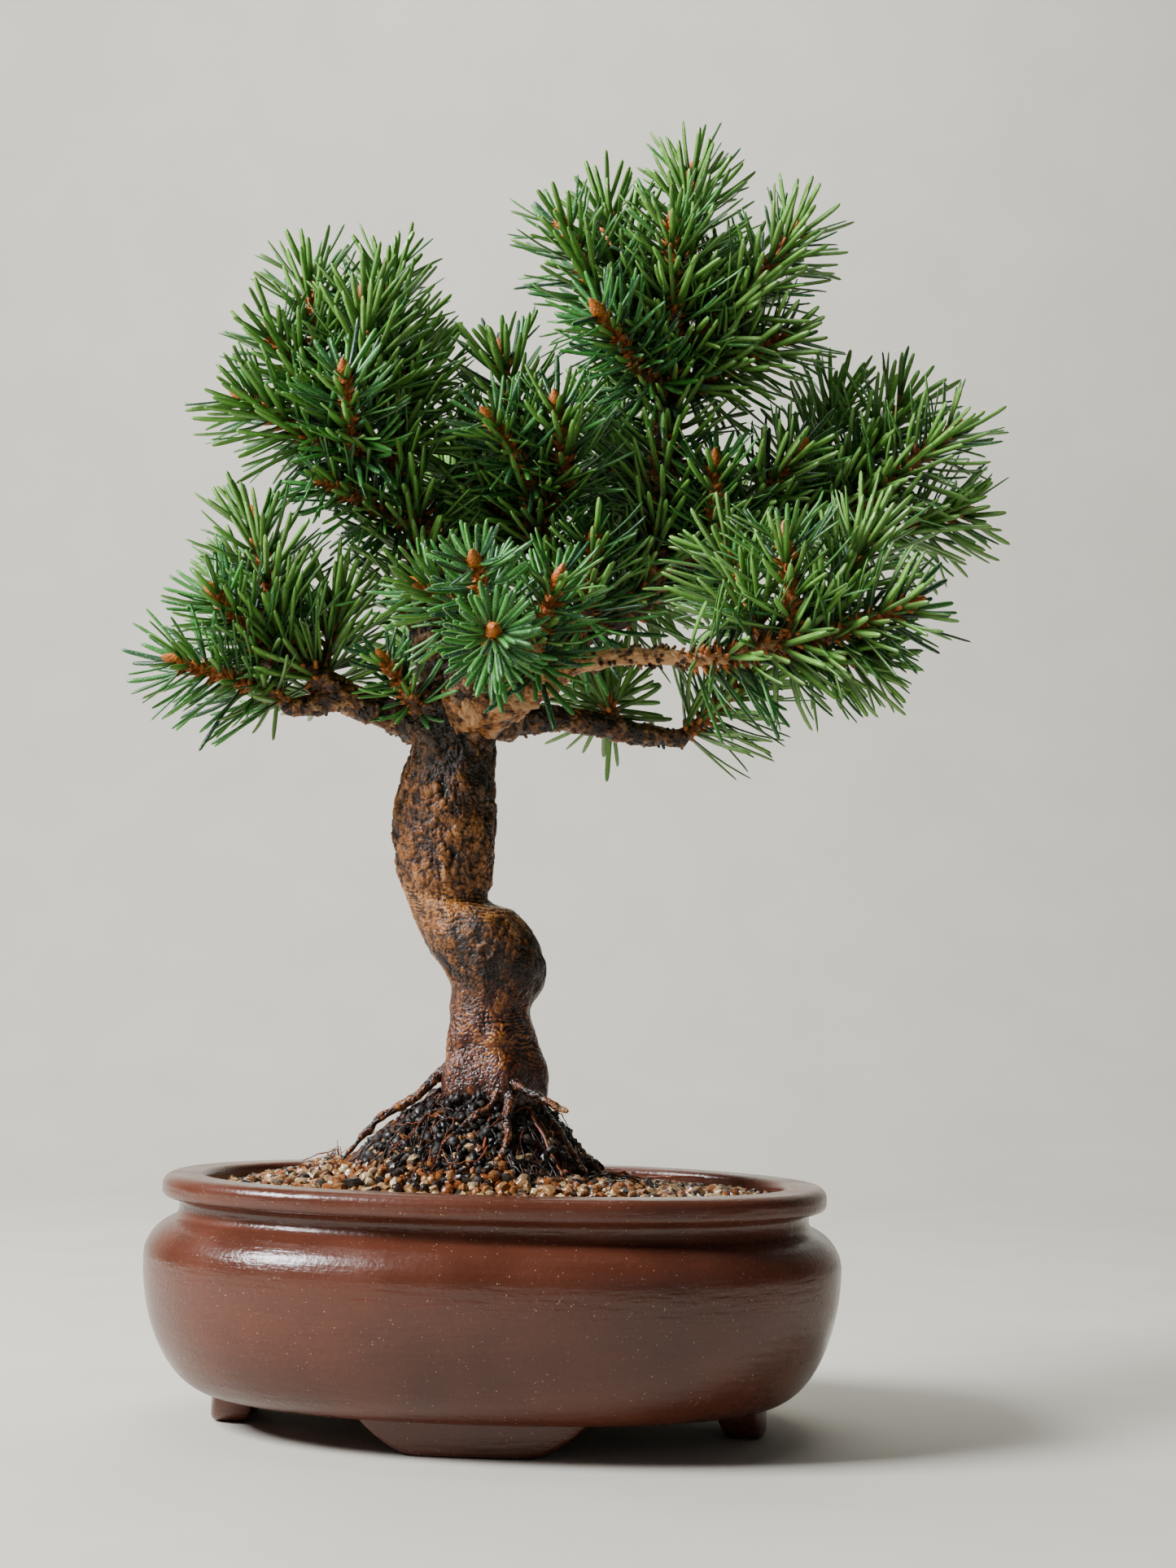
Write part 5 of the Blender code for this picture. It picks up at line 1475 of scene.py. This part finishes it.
class BONSAI_OT_foliage(bpy.types.Operator):
    """Build every shoot: its stem, bud, papery sheaths and paired needles"""

    bl_idname = "bonsai.foliage"
    bl_label = "Needle shoots"

    def execute(self, context):
        settings = context.scene.bonsai_foliage
        wax = needle_material(settings)
        twig = papery_material("young_pine_stem", settings.stem, settings.sheath, 0.6)
        scales = papery_material("resinous_bud_scale", settings.bud, settings.bud_rim, 0.5)
        for index, node in enumerate(SHOOT_NODES):
            self.build_shoot(index, node, settings, wax, twig, scales)
        for index, (name, first) in enumerate(LEAFY_LIMBS.items()):
            rng = np.random.default_rng(2000 + index)
            curve = smooth_route(LIMBS[name], STEM_STEP * MM)
            curve = curve[int(first * len(curve)):]
            needles, sheaths = needles_on(rng, curve, settings, settings.leafy_limb, 1.0, old=True)
            add_piece("inner_needles_" + name, *needles[:2], wax, needles[2], slot="foliage")
            add_piece("inner_sheaths_" + name, *sheaths[:2], twig, sheaths[2], slot="foliage")
        return {"FINISHED"}

    def build_shoot(self, index, node, settings, wax, twig, scales):
        """One shoot: the leafy end of its twig, its stem and its bud. Short shoots and those that face the
        front have shorter needles."""
        rng = np.random.default_rng(1000 + index)
        base, tip = shoot_axis(node)
        ahead = unit(tip - base)
        whole = np.linalg.norm(tip - base)
        small = np.clip((whole / MM - 10) / 14, 0.3, 1)
        bud_length = settings.bud_length * (0.6 + 0.4 * small)
        top = tip - 0.75 * bud_length * ahead
        rows = twig_route(base, tip)
        rows = [*rows[:2], (*((base - POT_CENTRE) / MM), 1.5), (*((top - POT_CENTRE) / MM), 1.2)]
        curve = smooth_route(rows, STEM_STEP * MM)
        leafy = min(whole / MM + settings.leafy_twig / MM * small, len(curve) * STEM_STEP - 3)
        needled = int(leafy / STEM_STEP)
        curve = curve[-needled:]
        curve[:, 3] = settings.stem_radius * np.linspace(1.15, 0.85, needled)
        size = (0.5 + 0.5 * small) * (1 - 0.33 * max(-ahead[1], 0.0) ** 2)
        needles, sheaths = needles_on(rng, curve, settings, 1.0, size)
        label = node.replace("needle_shoot", "")
        add_piece("needles" + label, *needles[:2], wax, needles[2], slot="foliage", replaced=(node,))
        points, faces, attributes = joined([stem_surface(curve), sheaths])
        add_piece("stem" + label, points, faces, twig, attributes, slot="foliage", replaced=(node,))
        bud_radius = settings.bud_radius * (0.6 + 0.4 * small)
        points, faces, attributes = bud_surface(tip, ahead, bud_length, bud_radius)
        add_piece("bud" + label, points, faces, scales, attributes, slot="foliage", replaced=(node,))


# ---------------------------------------------------------------- stage


class BONSAI_OT_stage(bpy.types.Operator):
    """Build the pale floor that curves up into a backdrop, the soft lights and the camera"""

    bl_idname = "bonsai.stage"
    bl_label = "Stage, lights and camera"

    def execute(self, context):
        settings = context.scene.bonsai_stage
        self.build_floor(settings)
        heading = settings.aim_right - settings.camera_turn
        ahead = np.array((math.sin(heading), math.cos(heading), 0.0))
        right = np.array((math.cos(heading), -math.sin(heading), 0.0))
        middle = POT_CENTRE + (0, 0, 0.2)
        key = -1.0 * right - 0.38 * ahead + (0, 0, 0.72)
        self.add_light("key", middle, key, 0.46, settings.key_power, "#FBFCFF")
        fill = 0.7 * right - 1.0 * ahead + (0, 0, 0.3)
        self.add_light("fill", middle, fill, 0.9, settings.fill_power, "#F4F6FF")
        wall = POT_CENTRE + 1.1 * ahead + (0, 0, 0.45)
        self.add_light("wall", wall, (0, 0, 0.9) - 0.75 * ahead, 0.9, settings.wall_power, "#FFFFFF")
        self.add_sky(settings)
        self.add_camera(settings, ahead, right)
        return {"FINISHED"}

    def build_floor(self, settings):
        """A sheet that lies flat, turns up through a quarter circle and stands as the wall behind."""
        turn = np.linspace(0, np.pi / 2, 24)
        bend, back, high, near = 0.5, 0.75, 2.5, -3.0
        line = np.concatenate([
            [(near, 0.0)], np.stack([back + bend * np.sin(turn), bend - bend * np.cos(turn)], -1),
            [(back + bend, high)],
        ])
        tilt = settings.camera_turn
        across = np.array((math.cos(tilt), math.sin(tilt), 0.0))
        away = np.array((-math.sin(tilt), math.cos(tilt), 0.0))
        sides = np.linspace(-4, 4, 2)[None, :, None] * across
        points = line[:, None, :1] * away + line[:, None, 1:] * np.array((0, 0, 1.0)) + sides
        rows = len(line)
        start = np.arange(rows - 1) * 2
        faces = np.stack([start, start + 1, start + 3, start + 2], axis=-1)
        material, tree, place, shader = new_material("matt_paper")
        fibre = add_node(tree, "ShaderNodeTexNoise", None, {
            "Vector": place, "Scale": per_metre(60), "Detail": 3.0,
        })
        dark = tuple(channel * 0.94 for channel in settings.floor)
        ramp = add_node(tree, "ShaderNodeValToRGB", {
            "stops": [(0.3, dark), (0.7, tuple(settings.floor))],
        }, {"Fac": fibre.outputs[0]})
        tree.links.new(ramp.outputs[0], shader.inputs["Base Color"])
        shader.inputs["Roughness"].default_value = 0.85
        mesh = bpy.data.meshes.new("paper_sweep")
        mesh.from_pydata(points.reshape(-1, 3).tolist(), [], faces.tolist())
        mesh.shade_smooth()
        mesh.materials.append(material)
        floor = bpy.data.objects.new("paper_sweep", mesh)
        bpy.context.scene.collection.objects.link(floor)

    def add_light(self, name, middle, offset, size, power, hex_colour):
        """A square soft light that stands off from the middle of the tree and faces it."""
        data = bpy.data.lights.new(name, "AREA")
        data.size = size
        data.energy = power
        data.color = linear(hex_colour)
        lamp = bpy.data.objects.new(name, data)
        back = unit(np.asarray(offset, float))
        side = unit(np.cross((0, 0, 1.0), back))
        up = np.cross(back, side)
        lamp.matrix_world = placed(side, up, back, middle + offset)
        bpy.context.scene.collection.objects.link(lamp)

    def add_sky(self, settings):
        """Even pale light from all round."""
        world = bpy.data.worlds.new("studio")
        world.use_nodes = True
        background = world.node_tree.nodes["Background"]
        background.inputs["Color"].default_value = (*linear("#E6E9EC"), 1.0)
        background.inputs["Strength"].default_value = settings.sky_strength
        bpy.context.scene.world = world

    def add_camera(self, settings, ahead, right):
        """The camera: level place from the pot's centre, then aimed, raised and rolled."""
        forward = ahead * math.cos(settings.aim_up) + np.array((0, 0, math.sin(settings.aim_up)))
        up = np.cross(right, forward)
        leaned_right = math.cos(settings.roll) * right + math.sin(settings.roll) * up
        leaned_up = -math.sin(settings.roll) * right + math.cos(settings.roll) * up
        turn = settings.camera_turn
        stand = np.array((math.sin(turn), -math.cos(turn), 0.0)) * settings.camera_distance
        data = bpy.data.cameras.new("camera")
        data.sensor_width = 36.0
        data.lens = settings.lens
        camera = bpy.data.objects.new("camera", data)
        camera.matrix_world = placed(
            leaned_right, leaned_up, -forward, POT_CENTRE + stand + (0, 0, settings.camera_height),
        )
        bpy.context.scene.collection.objects.link(camera)
        bpy.context.scene.camera = camera


def placed(side, up, back, where):
    """Return the matrix of an object with these three axes, standing at where."""
    matrix = np.eye(4)
    matrix[:3, 0], matrix[:3, 1], matrix[:3, 2], matrix[:3, 3] = side, up, back, where
    return Matrix(matrix.tolist())


# ---------------------------------------------------------------- add-on

OPERATORS = (
    BONSAI_OT_stage, BONSAI_OT_pot, BONSAI_OT_drainage, BONSAI_OT_ground, BONSAI_OT_trunk, BONSAI_OT_limbs,
    BONSAI_OT_roots, BONSAI_OT_foliage,
)


class BONSAI_PT_panel(bpy.types.Panel):
    """Lists the pieces of the bonsai and the settings that shape them"""

    bl_idname = "BONSAI_PT_panel"
    bl_label = "Pine Bonsai"
    bl_space_type = "VIEW_3D"
    bl_region_type = "UI"
    bl_category = "Bonsai"

    def draw(self, context):
        for operator in OPERATORS:
            self.layout.operator(operator.bl_idname)
        for key, group in GROUPS.items():
            box = self.layout.box()
            box.label(text=group.__doc__)
            for name in group.__annotations__:
                box.prop(getattr(context.scene, key), name)


def register():
    """Register the classes and hang the settings on the scene."""
    for group in (*GROUPS.values(), *OPERATORS, BONSAI_PT_panel):
        bpy.utils.register_class(group)
    for key, group in GROUPS.items():
        setattr(bpy.types.Scene, key, bpy.props.PointerProperty(type=group))


def unregister():
    """Undo what register does."""
    for key in GROUPS:
        delattr(bpy.types.Scene, key)
    for group in reversed((*GROUPS.values(), *OPERATORS, BONSAI_PT_panel)):
        bpy.utils.unregister_class(group)


def main():
    """Build everything in order."""
    register()
    bpy.ops.bonsai.stage()
    bpy.ops.bonsai.pot()
    bpy.ops.bonsai.drainage()
    bpy.ops.bonsai.ground()
    bpy.ops.bonsai.trunk()
    bpy.ops.bonsai.limbs()
    bpy.ops.bonsai.roots()
    bpy.ops.bonsai.foliage()


if __name__ == "__main__":
    main()
